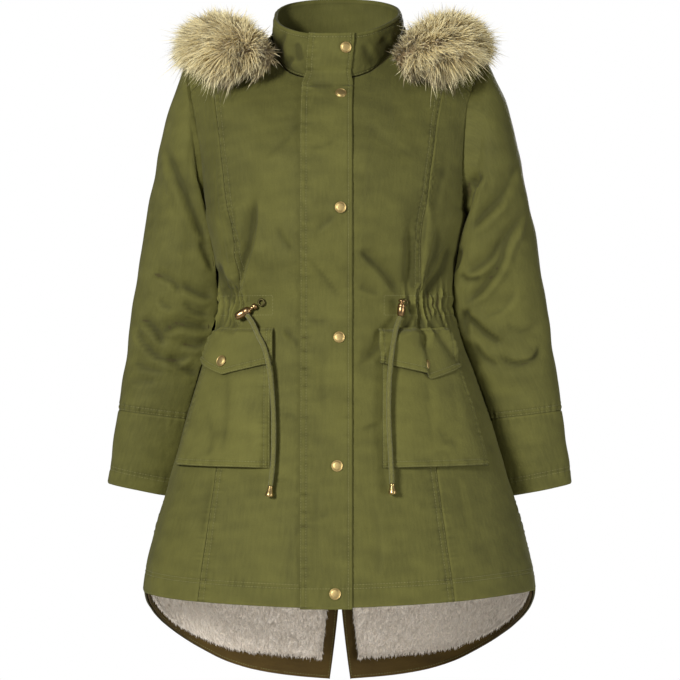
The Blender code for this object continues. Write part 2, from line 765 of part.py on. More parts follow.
def sleeve_ring(side, row, around, steady):
    """One ring of a sleeve, its points running from the top over the front to the underside and back."""
    top = np.array((row.outer_x, row.y, row.outer_z))
    under = np.array((row.inner_x, row.y, row.inner_z))
    centre, half = (top + under) / 2, (top - under) / 2
    points = []
    for i in range(around):
        angle = 2 * math.pi * i / around
        along, fore = math.cos(angle), math.sin(angle)
        power = 2 / SLEEVE_SQUARE
        along = math.copysign(abs(along) ** power, along)
        fore = math.copysign(abs(fore) ** power, fore)
        point = centre + half * along + np.array((0.0, -row.depth * fore, 0.0))
        point[0] = side * point[0] - SHOULDER_TURN * steady
        if point[2] < Z_UNDERARM + 0.012:
            least = body_side_x(side, point[1], point[2]) + SLEEVE_CLEAR
            if side * point[0] < least:
                point[0] = side * least
        points.append(point)
    return points


def armhole_ring(side, around, out):
    """The armhole as a ring, starting at the shoulder point and running over the front."""
    points = []
    for i in range(around):
        turn = 2 * i / around
        face, share = (FRONT, 1 - turn) if turn <= 1 else (BACK, turn - 1)
        point = armhole_point(face, share)
        point[0] = side * point[0]
        point = turned(point)
        point[0] += side * out
        points.append(point)
    return points


def blend_rows(rows, steps):
    """Rows read from smooth curves through the given rows."""
    count = len(rows)
    numbered = [Numbered(i, *row) for i, row in enumerate(rows)]
    curves = [Profile(numbered, "number", name) for name in Ring._fields]
    return [Ring(*(curve((count - 1) * k / steps) for curve in curves)) for k in range(steps + 1)]


Numbered = namedtuple("Numbered", ("number",) + Ring._fields)


def thickened(rings):
    """Inner rings a wall's thickness inside closed rings."""
    grid = np.array(rings)
    around = np.roll(grid, -1, axis=1) - np.roll(grid, 1, axis=1)
    along = np.gradient(grid, axis=0)
    normal = np.cross(around, along)
    normal /= np.linalg.norm(normal, axis=2, keepdims=True)
    centres = grid.mean(axis=1, keepdims=True)
    outward = np.sign((normal * (grid - centres)).sum(axis=2, keepdims=True).sum())
    return grid - normal * outward * WALL


def make_sleeves():
    around = 22
    for side, name in SIDE_NAMES.items():
        rings = [armhole_ring(side, around, 0.0026)]
        rows = blend_rows(SLEEVE, 10)
        for k, row in enumerate(rows):
            rings.append(sleeve_ring(side, row, around, (1 - k / (len(rows) - 1)) ** 2))
        wall(f"sleeve_{name}", rings, thickened(rings), "shell", around=True)
        rings = [sleeve_ring(side, row, around, 0.0) for row in blend_rows(CUFF, 4)]
        wall(f"cuff_{name}", rings, thickened(rings), "shell", around=True)


# ---- pockets and flaps ----
POCKET_INNER_X, POCKET_OUTER_ACROSS = 0.0765, 0.745
POCKET_TOP_Z, POCKET_BOTTOM_Z = -0.418, -0.601
FLAP_TOP_Z, FLAP_SIDE_DROP, FLAP_POINT_DROP = -0.409, 0.050, 0.067
FLAP_INNER_X, FLAP_OUTER_ACROSS = 0.0720, 0.765
POCKET_TOP_LIFT, POCKET_THICK, POCKET_BELLY, POCKET_FOLD = 0.0018, 0.0030, 0.0040, 0.0018
FLAP_LIFT = 0.0084


def pocket_lift(r):
    """How far the pocket's back lies off the body: its top edge clears the waist folds."""
    return LAY if r > 0 else POCKET_TOP_LIFT


def pocket_out(c, r):
    """Height of the pocket's face: low at its sides and top, stacked folds at its bottom."""
    edge = min(c, 1 - c) * 5
    body = POCKET_BELLY * smooth(edge) * smooth((r - 0.1) * 1.6)
    return pocket_lift(r) + POCKET_THICK + body + POCKET_FOLD * smooth(r * 3 - 2)


def make_pockets():
    columns, rows = 8, 8
    for side, name in SIDE_NAMES.items():
        outer, inner = [], []
        for j in range(rows + 1):
            r = j / rows
            z = POCKET_TOP_Z + (POCKET_BOTTOM_Z - POCKET_TOP_Z) * r
            level = level_of(z)
            u0 = across_of_x(FRONT, level, POCKET_INNER_X)
            outer_row, inner_row = [], []
            for i in range(columns + 1):
                c = i / columns
                point, normal = surface(FRONT, side, u0 + (POCKET_OUTER_ACROSS - u0) * c, level)
                outer_row.append(point + normal * pocket_out(c, r))
                inner_row.append(point + normal * pocket_lift(r))
            outer.append(outer_row)
            inner.append(inner_row)
        wall(f"pocket_{name}", outer, inner, "shell")


def flap_drop(c):
    """How far a flap hangs: sides, then the point at its middle."""
    return FLAP_SIDE_DROP + (FLAP_POINT_DROP - FLAP_SIDE_DROP) * (1 - abs(2 * c - 1))


def make_flaps():
    columns, rows = 8, 4
    for side, name in SIDE_NAMES.items():
        outer, inner = [], []
        for j in range(rows + 1):
            r = j / rows
            outer_row, inner_row = [], []
            for i in range(columns + 1):
                c = i / columns
                z = FLAP_TOP_Z - flap_drop(c) * r
                level = level_of(z)
                u0 = across_of_x(FRONT, level, FLAP_INNER_X)
                point, normal = surface(FRONT, side, u0 + (FLAP_OUTER_ACROSS - u0) * c, level)
                lift = FLAP_LIFT if r > 0 else POCKET_TOP_LIFT
                outer_row.append(point + normal * (lift + WALL))
                inner_row.append(point + normal * lift)
            outer.append(outer_row)
            inner.append(inner_row)
        wall(f"flap_{name}", outer, inner, "shell")


# ---- lining and facing of the fishtail ----
Boundary = namedtuple("Boundary", "across rise")
FACING_RISE = [
    Boundary(0.00, 0.033),
    Boundary(0.20, 0.031),
    Boundary(0.40, 0.022),
    Boundary(0.60, 0.014),
    Boundary(0.80, 0.011),
    Boundary(1.00, 0.010),
]
facing_rise = Profile(FACING_RISE, "across", "rise")
SPLIT_FACING_WIDTH = 0.017
LINING_TOP_Z = -0.560
LINING_OUT = -WALL - 0.0018
LINING_THICK = 0.003
FACING_THICK = 0.0015


def lining_edge(level):
    z = Z_UNDERARM + level
    return share_of_width(BACK, level, split_half(z) + SPLIT_FACING_WIDTH + 0.0010, 0.0)


def make_linings():
    for side, name in SIDE_NAMES.items():
        panel(f"lining_{name}", BACK, side, lining_edge,
              lambda level: 1 - share_of_width(BACK, level, 0.012, 1.0),
              lambda u: level_of(back_hem_z(u) + facing_rise(u) + 0.0012), lambda u: level_of(LINING_TOP_Z),
              10, 7, "fleece", LINING_OUT, LINING_THICK)


def make_facings():
    """An L-shaped strip: along the hem from the side to the split, then up beside the split."""
    hem_steps, split_steps, columns = 12, 5, 1
    for side, name in SIDE_NAMES.items():
        outer, inner = [], []
        stations = [("hem", 1 - k / hem_steps) for k in range(hem_steps + 1)]
        stations += [("split", (k + 1) / split_steps) for k in range(split_steps)]
        for kind, share in stations:
            outer_row, inner_row = [], []
            for i in range(columns + 1):
                wide = i / columns
                if kind == "hem":
                    near = share_of_width(BACK, level_of(-0.9), split_half(-0.925) + 0.0008, 0.0)
                    far = share_of_width(BACK, level_of(-0.9), split_half(-0.900) + SPLIT_FACING_WIDTH, 0.0)
                    first = near + (far - near) * wide
                    across = first + (0.985 - first) * share
                    z = back_hem_z(across) + 0.0006 + (facing_rise(across) - SEAM - 0.0006) * wide
                else:
                    low = back_hem_z(0.02) + facing_rise(0.0) * wide
                    z = low + (SPLIT_TOP_Z + 0.02 - low) * share
                    reach = split_half(z) + 0.0008 + (SPLIT_FACING_WIDTH - 0.0008) * wide
                    across = share_of_width(BACK, level_of(z), reach, 0.0)
                point, normal = surface(BACK, side, across, level_of(z))
                outer_row.append(point + normal * LINING_OUT)
                inner_row.append(point + normal * (LINING_OUT - FACING_THICK))
            outer.append(outer_row)
            inner.append(inner_row)
        wall(f"facing_{name}", outer, inner, "facing")


# ---- hood and fur ----
def tree_of(objects):
    """A search tree over the triangles of some objects."""
    points, faces = [], []
    for made in objects:
        made.data.calc_loop_triangles()
        start = len(points)
        points += [vertex.co.copy() for vertex in made.data.vertices]
        faces += [tuple(start + k for k in tri.vertices) for tri in made.data.loop_triangles]
    return BVHTree.FromPolygons(points, faces)


def catmull(points, position):
    """A point of a Catmull-Rom curve through points, at a position counted in points."""
    i = min(int(position), len(points) - 2)
    t = position - i
    p1, p2 = points[i], points[i + 1]
    p0 = points[i - 1] if i > 0 else 2 * p1 - p2
    p3 = points[i + 2] if i + 2 < len(points) else 2 * p2 - p1
    return 0.5 * (2 * p1 + (p2 - p0) * t + (2 * p0 - 5 * p1 + 4 * p2 - p3) * t * t
                  + (3 * p1 - p0 - 3 * p2 + p3) * t**3)


def hood_grid(side, across_steps, down_steps):
    table = [[np.array(point) for point in row] for row in HOOD]
    grid = []
    for k in range(down_steps + 1):
        column = [catmull(row, (len(row) - 1) * k / down_steps) for row in table]
        row = []
        for i in range(across_steps + 1):
            point = catmull(column, (len(column) - 1) * i / across_steps)
            point = point * (side, 1, 1)
            point[0] -= 0.003
            row.append(point)
        grid.append(row)
    return grid


def pushed_clear(point, tree, clear):
    """A point moved out of the body and then away from its surface until it is at least clear of it."""
    way = Vector(point) - BODY_HEART
    way.normalize()
    far = 0.10
    hit, _, _, distance = tree.ray_cast(Vector(point) + way * far, -way, far + clear)
    if hit is not None and distance < far + clear:
        point = np.array(hit + way * clear)
    found, _, _, distance = tree.find_nearest(Vector(point))
    if distance < clear:
        apart = (Vector(point) - found).normalized()
        point = np.array(found + apart * clear)
    return point


def make_hood(shell):
    tree = tree_of(shell)
    for side, name in SIDE_NAMES.items():
        grid = hood_grid(side, 10, 14)
        for row in grid:
            row[-1][0] = -0.003 + side * SEAM / 2
        for j, row in enumerate(grid):
            clear = HOOD_SEAM_CLEAR + (HOOD_CLEAR - HOOD_SEAM_CLEAR) * smooth(j / 3) + WALL
            grid[j] = [pushed_clear(point, tree, clear) for point in row]
        for row in grid:
            row[-1][0] = -0.003 + side * SEAM / 2
        points = np.array(grid)
        normal = np.cross(np.gradient(points, axis=1), np.gradient(points, axis=0))
        normal[:, -1, 0] = 0.0
        normal /= np.linalg.norm(normal, axis=2, keepdims=True)
        if normal[1, 4, 2] * 1.0 + normal[1, 4, 1] < 0:
            normal = -normal
        wall(f"hood_{name}", points, points - normal * WALL, "shell")


def fur_path():
    """Centres and radii of the fur roll from the right front, round the back, to the left front."""
    right = [np.array((-row.x - FUR_SHIFT, row.y, row.z, row.radius)) for row in FUR]
    left = [np.array((row.x - FUR_SHIFT, row.y, row.z, row.radius)) for row in FUR]
    right[-1][0] = left[-1][0] = -0.003
    return right + left[-2::-1]


def make_fur(others):
    tree = tree_of(others)
    path = fur_path()
    pieces = (("fur_right", 0.0, 6.5), ("fur_back", 6.5, 11.5), ("fur_left", 11.5, 18.0))
    around = 18
    for name, start, end in pieces:
        steps = round((end - start) * 2)
        centres, ways, reaches = [], [], []
        for k in range(steps + 1):
            at = start + (end - start) * k / steps
            row = catmull(path, min(max(at, 0.0), 17.999))
            ahead = catmull(path, min(at + 0.05, 17.999)) - catmull(path, max(at - 0.05, 0.0))
            along = ahead[:3] / np.linalg.norm(ahead[:3])
            if k == 0 and start > 0:
                row[:3] += along * SEAM / 2
            if k == steps and end < 18:
                row[:3] -= along * SEAM / 2
            rise = np.array((0.0, 0.0, 1.0)) - along * along[2]
            rise /= np.linalg.norm(rise)
            sidewards = np.cross(along, rise)
            ring_ways, ring_reaches = [], []
            for i in range(around):
                angle = 2 * math.pi * i / around
                way = rise * math.cos(angle) + sidewards * math.sin(angle)
                hit = tree.ray_cast(Vector(row[:3]), Vector(way), row[3] + 0.004)
                reach = row[3] if hit[0] is None else max(hit[3] - FUR_CLEAR, 0.002)
                ring_ways.append(way)
                ring_reaches.append(min(reach, row[3]))
            centres.append(row[:3])
            ways.append(ring_ways)
            reaches.append(ring_reaches)
        rings = []
        for k in range(steps + 1):
            ring = []
            for i in range(around):
                near = [
                    reaches[min(max(k + dk, 0), steps)][(i + di) % around]
                    for dk in (-1, 0, 1) for di in (-1, 0, 1)
                ]
                ring.append(centres[k] + ways[k][i] * (0.35 * reaches[k][i] + 0.65 * min(near) - FUR_CLEAR))
            rings.append(ring)
        bm = bmesh.new()
        made = grid_faces(bm, rings, True)
        bm.faces.new(made[0])
        bm.faces.new(made[-1])
        new_object(name, bm, "fur")


# ---- hardware ----
def turned_piece(name, profile, point, axis, paint, steps=12):
    """A turned piece: its profile as (radius, height) rows from the top down, its axis along +Z."""
    mesh = bpy.data.meshes.new(name)
    points = [(radius, 0.0, height) for radius, height in profile]
    mesh.from_pydata(points, [(i, i + 1) for i in range(len(points) - 1)], [])
    made = bpy.data.objects.new(name, mesh)
    PARKA.objects.link(made)
    screw = made.modifiers.new("turn", "SCREW")
    screw.axis = "Z"
    screw.steps = screw.render_steps = steps
    screw.use_merge_vertices = True
    screw.merge_threshold = 0.00005
    screw.use_smooth_shade = True
    made.rotation_mode = "QUATERNION"
    made.rotation_quaternion = Vector((0, 0, 1)).rotation_difference(Vector(axis))
    made.location = Vector(point)
    mesh.materials.append(material(name, paint))
    return made


SNAP_PROFILE = [
    (0.0, 0.0026), (0.0055, 0.0024), (0.0072, 0.0016), (0.0080, 0.0008), (0.0080, 0.0), (0.0, 0.0),
]
EYELET_PROFILE = [
    (0.0030, 0.0012), (0.0042, 0.0016), (0.0055, 0.0010), (0.0058, 0.0), (0.0030, 0.0), (0.0030, 0.0012),
]
TOGGLE_PROFILE = [
    (0.0, 0.0340), (0.0030, 0.0336), (0.0044, 0.0318), (0.0044, 0.0292), (0.0026, 0.0276), (0.0026, 0.0236),
    (0.0046, 0.0224), (0.0058, 0.0190), (0.0060, 0.0110), (0.0052, 0.0030), (0.0034, 0.0003), (0.0, 0.0),
]
TOGGLE_SHORT_PROFILE = [
    (0.0, 0.0240), (0.0030, 0.0237), (0.0052, 0.0226), (0.0052, 0.0206), (0.0028, 0.0196), (0.0028, 0.0184),
    (0.0046, 0.0176), (0.0054, 0.0150), (0.0055, 0.0070), (0.0048, 0.0014), (0.0030, 0.0002), (0.0, 0.0),
]
BELL_PROFILE = [
    (0.0, 0.0150), (0.0030, 0.0148), (0.0036, 0.0130), (0.0034, 0.0100), (0.0046, 0.0070), (0.0054, 0.0040),
    (0.0056, 0.0022), (0.0048, 0.0006), (0.0030, 0.0), (0.0, 0.0),
]


COLLAR_SNAP_X, COLLAR_SNAP_HEIGHT = 0.0203, 0.68
CHEST_SNAP_X = 0.0195
FLAP_SNAP_DROP, FLAP_SNAP_SHARE = 0.049, 0.53
SEAT_REACH, SEAT_STEPS = 0.02, 16


def seated(point, normal, radius, tree):
    """A place over point where a flat foot of this radius lies a seam's gap off the surface below it."""
    normal = Vector(normal).normalized()
    across = normal.orthogonal().normalized()
    start = Vector(point) + normal * SEAT_REACH
    nearest = SEAT_REACH * 2
    for share in (0.0, 0.5, 1.0):
        for k in range(SEAT_STEPS):
            turn = Quaternion(normal, 2 * math.pi * k / SEAT_STEPS)
            hit = tree.ray_cast(start + turn @ across * radius * share, -normal, SEAT_REACH * 2)
            if hit[0] is not None:
                nearest = min(nearest, hit[3])
    return start - normal * (nearest - SEAM)


def make_snaps(tree):
    radius = SNAP_PROFILE[-2][0]
    for snap in SNAPS:
        if snap.z > Z_UNDERARM:
            level = solve(lambda l: untwisted(FRONT, 0.1, l)[2] - snap.z, 0.0, UPPER_REACH)
            across = across_of_x(FRONT, level, CHEST_SNAP_X)
            point, normal = surface(FRONT, LEFT, across, level)
        else:
            point, normal = place_xz(snap.x, snap.z, 0.0)
        turned_piece(snap.name, SNAP_PROFILE, seated(point, normal, radius, tree), normal, "snap")
    point, normal = collar_point(collar_angle_of(COLLAR_SNAP_X), COLLAR_SNAP_HEIGHT)
    turned_piece("snap_1", SNAP_PROFILE, seated(point, normal, radius, tree), normal, "snap")
    for side, name in SIDE_NAMES.items():
        level = level_of(FLAP_TOP_Z - FLAP_SNAP_DROP)
        u0 = across_of_x(FRONT, level, FLAP_INNER_X)
        point, normal = surface(FRONT, side, u0 + (FLAP_OUTER_ACROSS - u0) * FLAP_SNAP_SHARE, level)
        turned_piece(f"flap_snap_{name}", SNAP_PROFILE, seated(point, normal, radius, tree), normal, "snap")


def route_points(side):
    return [place_xz(row.x, row.z, row.lift)[0] for row in CORD_ROUTES[side]]


def make_cords(tree):
    """Each end runs from its cord lock to its bell end, read from a smooth curve through its route."""
    for side, name in SIDE_NAMES.items():
        points = route_points(side)
        count = 25
        curve = bpy.data.curves.new(f"cord_{name}", "CURVE")
        curve.dimensions = "3D"
        curve.bevel_depth = CORD_THICK / 2
        curve.bevel_resolution = 2
        curve.use_fill_caps = True
        line = curve.splines.new("POLY")
        line.points.add(count - 1)
        for k in range(count):
            point = catmull(points, (len(points) - 1) * k / (count - 1))
            line.points[k].co = (*point, 1.0)
        made = bpy.data.objects.new(f"cord_{name}", curve)
        PARKA.objects.link(made)
        curve.materials.append(material(made.name, "cord"))
        last = points[-1] - points[-2]
        down = last / np.linalg.norm(last)
        turned_piece(f"bell_{name}", BELL_PROFILE, points[-1] + down * (SEAM + 0.0150), -down, "hardware")
        make_toggle(side, name, points, tree)


Lock = namedtuple("Lock", "profile axis height reach eye_x eye_z")
LOCKS = {
    RIGHT: Lock(TOGGLE_PROFILE, (0.86, -0.06, 0.50), 0.0150, 0.0066, -0.1080, -0.3740),
    LEFT: Lock(TOGGLE_SHORT_PROFILE, (0.10, -0.10, 0.98), 0.0, 0.0016, 0.0905, -0.3740),
}


def make_toggle(side, name, points, tree):
    """A cord lock that the cord's first point meets, and the eyelet behind it."""
    lock = LOCKS[side]
    axis = np.array(lock.axis)
    axis /= np.linalg.norm(axis)
    away = points[0] - points[1]
    away /= np.linalg.norm(away)
    foot = points[0] + away * lock.reach - axis * lock.height
    turned_piece(f"toggle_{name}", lock.profile, foot, axis, "hardware")
    point, normal = place_xz(lock.eye_x, lock.eye_z, 0.0)
    point = seated(point, normal, EYELET_PROFILE[-3][0], tree)
    turned_piece(f"eyelet_{name}", EYELET_PROFILE, point, normal, "hardware")


# ---- build ----
for left_over in list(bpy.data.objects):
    bpy.data.objects.remove(left_over, do_unlink=True)
PARKA = bpy.data.collections.new("Parka")
bpy.context.scene.collection.children.link(PARKA)

make_body()
make_yokes()
make_collar()
make_placket()
make_sleeves()
make_pockets()
make_flaps()
make_linings()
make_facings()
SHELL = [made for made in PARKA.objects if made.name.startswith(("front", "side", "back", "yoke", "collar"))]
make_hood(SHELL)
AROUND_FUR = [
    made for made in PARKA.objects
    if made.name.startswith(("front", "side", "back", "yoke", "collar", "hood", "sleeve", "placket"))
]
make_fur(AROUND_FUR)
UNDER_HARDWARE = tree_of([
    made for made in PARKA.objects if made.name.startswith(("front", "side", "collar", "placket", "flap"))
])
make_snaps(UNDER_HARDWARE)
make_cords(UNDER_HARDWARE)
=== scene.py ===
"""The visual model of a fur trimmed parka, in its worn form with no wearer.

The cloth is laid over one body surface, which is described by levels: each level is a Bezier arc from the
centre line to the side or, above the underarm, to the armhole. Metres, +Z up, the wearer faces -Y, so the
wearer's left is +X. Distances along the cloth are metres too, and each cloth piece carries them as its UV.
"""

import json
import logging
import math
from collections.abc import Callable
from dataclasses import dataclass, field
from enum import Enum

import bmesh
import bpy
import numpy as np
from bpy.types import Material, Mesh, NodeSocket, Object
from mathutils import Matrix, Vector
from mathutils.bvhtree import BVHTree

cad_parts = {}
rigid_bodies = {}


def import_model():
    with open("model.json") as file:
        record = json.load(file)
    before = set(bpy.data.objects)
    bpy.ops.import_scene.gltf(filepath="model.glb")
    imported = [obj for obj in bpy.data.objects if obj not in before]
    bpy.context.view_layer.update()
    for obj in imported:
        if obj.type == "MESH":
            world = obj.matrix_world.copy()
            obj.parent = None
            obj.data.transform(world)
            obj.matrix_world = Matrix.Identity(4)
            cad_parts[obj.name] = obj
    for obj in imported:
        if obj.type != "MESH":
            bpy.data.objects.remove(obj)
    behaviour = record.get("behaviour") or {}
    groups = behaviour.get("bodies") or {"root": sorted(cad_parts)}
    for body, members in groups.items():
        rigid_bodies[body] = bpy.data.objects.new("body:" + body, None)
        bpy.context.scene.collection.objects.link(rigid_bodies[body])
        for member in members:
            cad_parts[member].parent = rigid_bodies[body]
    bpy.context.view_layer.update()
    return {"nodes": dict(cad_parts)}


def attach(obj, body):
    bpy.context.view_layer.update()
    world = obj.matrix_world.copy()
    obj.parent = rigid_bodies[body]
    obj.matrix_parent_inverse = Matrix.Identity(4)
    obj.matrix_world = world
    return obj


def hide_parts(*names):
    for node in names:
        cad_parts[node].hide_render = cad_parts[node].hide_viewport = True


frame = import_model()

LOG = logging.getLogger("parka")
Array = np.ndarray
Pair = tuple[Array, Array]
Colour = tuple[float, float, float]
BODY_NAME = "root"
SHARP_ANGLE = math.radians(60)


class Face(Enum):
    """Which half of the body a piece lies on."""

    FRONT = -1
    BACK = 1


FRONT, BACK = Face


class Side(Enum):
    """The wearer's side, as a sign in X."""

    RIGHT = -1
    LEFT = 1

    @property
    def word(self) -> str:
        """The side's name in the nodes."""
        return self.name.lower()

    @classmethod
    def of(cls, x: float) -> "Side":
        """The side that a place lies on."""
        return cls.LEFT if x >= 0 else cls.RIGHT


RIGHT, LEFT = Side


# ---- curves ----
class Profile:
    """A smooth curve through (position, value) rows that never overshoots them, read for whole arrays."""

    def __init__(self, rows: list[tuple[float, float]], flat_end: bool = False) -> None:
        """Sorts the rows and finds their slopes.

        Args:
            rows: (position, value) pairs.
            flat_end: whether the curve ends level.
        """
        rows = sorted(rows)
        self.at = np.array([row[0] for row in rows])
        self.value = np.array([row[1] for row in rows])
        slopes = np.diff(self.value) / np.diff(self.at)
        self.slope = np.zeros(len(rows))
        self.slope[0] = slopes[0]
        self.slope[-1] = 0.0 if flat_end else slopes[-1]
        before, after = slopes[:-1], slopes[1:]
        same = before * after > 0
        total = np.where(same, before + after, 1.0)
        self.slope[1:-1] = np.where(same, 2 * before * after / total, 0.0)

    def __call__(self, position: Array | float) -> Array:
        """Reads the curve.

        Args:
            position: where, as a number or an array.

        Returns:
            The values there.
        """
        position = np.clip(position, self.at[0], self.at[-1])
        i = np.clip(np.searchsorted(self.at, position) - 1, 0, len(self.at) - 2)
        span = self.at[i + 1] - self.at[i]
        t = (position - self.at[i]) / span
        return (
            (1 + 2 * t) * (1 - t) ** 2 * self.value[i]
            + t * (1 - t) ** 2 * span * self.slope[i]
            + t * t * (3 - 2 * t) * self.value[i + 1]
            + t * t * (t - 1) * span * self.slope[i + 1]
        )


def curves(rows: tuple[tuple[float, ...], ...], flat: tuple[int, ...] = ()) -> list[Profile]:
    """A curve over the rows' first numbers for each later column, level at its end where asked."""
    return [Profile([(row[0], row[k]) for row in rows], k in flat) for k in range(1, len(rows[0]))]


def circle(count: int) -> Array:
    """Angles evenly around a circle."""
    return 2 * math.pi * np.arange(count) / count


def along(values: Array, length: Array, at: Array) -> Array:
    """Rows of three values read at some lengths of their line."""
    return np.stack([np.interp(at, length, values[:, k]) for k in range(3)], -1)


def unit(ways: Array) -> Array:
    """Ways made one long."""
    return ways / np.linalg.norm(ways, axis=-1, keepdims=True)


def smooth(t: Array | float) -> Array:
    """An S curve from 0 to 1."""
    t = np.clip(t, 0.0, 1.0)
    return t * t * (3 - 2 * t)


def bump(distance: Array, width: float) -> Array:
    """A soft bell of height 1 at distance 0."""
    return np.exp(-((distance / width) ** 2))


def solve(function: Callable[[Array], Array], low: Array, high: Array) -> Array:
    """Finds where a rising function passes zero, for whole arrays.

    Args:
        function: takes and returns arrays.
        low: where it is below zero.
        high: where it is above zero.

    Returns:
        The places of the zeros.
    """
    low, high = np.array(low, float), np.array(high, float)
    for _ in range(BISECTIONS):
        middle = (low + high) / 2
        below = function(middle) < 0
        low, high = np.where(below, middle, low), np.where(below, high, middle)
    return (low + high) / 2


def catmull(points: Array, count: int) -> Array:
    """Reads a Catmull-Rom curve through rows of points.

    Args:
        points: an array whose first axis is the curve's points.
        count: how many rows to return.

    Returns:
        An array of count rows, evenly spaced in the curve's own points.
    """
    points = np.asarray(points, float)
    padded = np.concatenate([[2 * points[0] - points[1]], points, [2 * points[-1] - points[-2]]])
    at = np.linspace(0, len(points) - 1, count)
    i = np.minimum(at.astype(int), len(points) - 2)
    t = (at - i).reshape((-1,) + (1,) * (points.ndim - 1))
    p0, p1, p2, p3 = padded[i], padded[i + 1], padded[i + 2], padded[i + 3]
    return 0.5 * (2 * p1 + (p2 - p0) * t + (2 * p0 - 5 * p1 + 4 * p2 - p3) * t**2
                  + (3 * p1 - p0 - 3 * p2 + p3) * t**3)


# ---- the body ----
Z_UNDERARM = -0.249
UPPER_REACH = 0.23
ROUNDNESS = 0.61
SHOULDER_DROP = 0.008
ARMHOLE_MIDDLE_Z, ARMHOLE_HALF_HEIGHT = -0.140, 0.109
ARMHOLE_BULGE = {FRONT: 0.062, BACK: 0.055}
SEAM = 0.0003
LAY = 0.0012
WALL = 0.0022
TURN_FRONT = 0.019
PLACKET_HALF, PLACKET_THICK = 0.0355, 0.003
Z_WAIST = -0.378
SPLIT_TOP_Z, SPLIT_HALF, SPLIT_DROP, SPLIT_FLARE = -0.793, 0.0150, 0.135, 1.3


# height, half width, front depth, back depth
SECTIONS = (
    (-0.249, 0.1840, 0.150, 0.115), (-0.300, 0.1740, 0.143, 0.109), (-0.340, 0.1685, 0.131, 0.103),
    (-0.376, 0.1665, 0.124, 0.101), (-0.412, 0.1740, 0.128, 0.107), (-0.466, 0.1920, 0.139, 0.123),
    (-0.530, 0.2130, 0.152, 0.142), (-0.620, 0.2390, 0.166, 0.161), (-0.700, 0.2630, 0.177, 0.173),
    (-0.775, 0.2780, 0.185, 0.183), (-0.850, 0.2810, 0.189, 0.190), (-0.940, 0.2810, 0.190, 0.196),
)
# share of the way up, then the centre line's y and z, its reach, and the pull at the armhole in x, y and z
UPPERS = {
    FRONT: (
        (0.00, -0.150, -0.249, 0.1122, 0.000, -0.0915, 0.000),
        (0.25, -0.145, -0.180, 0.1100, -0.008, -0.0600, 0.008),
        (0.50, -0.120, -0.115, 0.1000, -0.030, -0.0400, 0.008),
        (0.75, -0.072, -0.052, 0.0850, -0.050, -0.0180, 0.012),
        (1.00, 0.000, 0.014, 0.0680, -0.068, 0.0000, 0.019),
    ),
    BACK: (
        (0.00, 0.115, -0.249, 0.1122, 0.000, 0.0700, 0.000),
        (0.25, 0.115, -0.165, 0.1100, -0.008, 0.0480, 0.012),
        (0.50, 0.104, -0.085, 0.1050, -0.030, 0.0360, 0.016),
        (0.75, 0.074, -0.016, 0.0900, -0.050, 0.0200, 0.018),
        (1.00, 0.000, 0.014, 0.0680, -0.068, 0.0000, 0.019),
    ),
}
FLAT_AT_SHOULDER = (2, 6)
# share from the underarm to the shoulder, the armhole's distance from the centre in front and behind
ARMHOLES = (
    (0.000, 0.184, 0.184), (0.125, 0.177, 0.181), (0.250, 0.177, 0.184), (0.375, 0.180, 0.188),
    (0.500, 0.186, 0.192), (0.625, 0.193, 0.197), (0.750, 0.201, 0.203), (0.875, 0.207, 0.208),
    (1.000, 0.209, 0.209),
)
# height, then how far the garment hangs turned at its side and in front, and how deep that reaches
TURNS = (
    (0.060, 0.002, 0.012, 0.080), (0.000, 0.002, 0.012, 0.080), (-0.031, 0.004, 0.014, 0.080),
    (-0.075, 0.004, 0.018, 0.085), (-0.120, 0.004, 0.019, 0.105), (-0.200, 0.005, 0.019, 0.130),
    (-0.378, 0.006, 0.019, 0.125), (-0.600, 0.001, 0.019, 0.140), (-0.940, 0.000, 0.019, 0.150),
)

PRINCESS = [
    (-0.040, 0.166), (-0.077, 0.160), (-0.115, 0.154), (-0.159, 0.148), (-0.202, 0.142), (-0.263, 0.136),
    (-0.315, 0.131), (-0.376, 0.128), (-0.450, 0.133), (-0.530, 0.143), (-0.613, 0.153), (-0.679, 0.162),
    (-0.764, 0.174), (-0.800, 0.178),
]
FRONT_HEM = [(0.0, -0.790), (0.4, -0.784), (0.8, -0.779), (1.0, -0.779)]
BACK_HEM = [
    (0.00, -0.931), (0.14, -0.925), (0.26, -0.916), (0.38, -0.901), (0.49, -0.881), (0.61, -0.858),
    (0.71, -0.839), (0.82, -0.818), (0.93, -0.797), (1.00, -0.781),
]
FACING_RISE = [(0.0, 0.033), (0.2, 0.031), (0.4, 0.022), (0.6, 0.014), (0.8, 0.011), (1.0, 0.010)]
LEVEL_STEP, ACROSS_STEP = 0.002, 0.004
BISECTIONS = 26


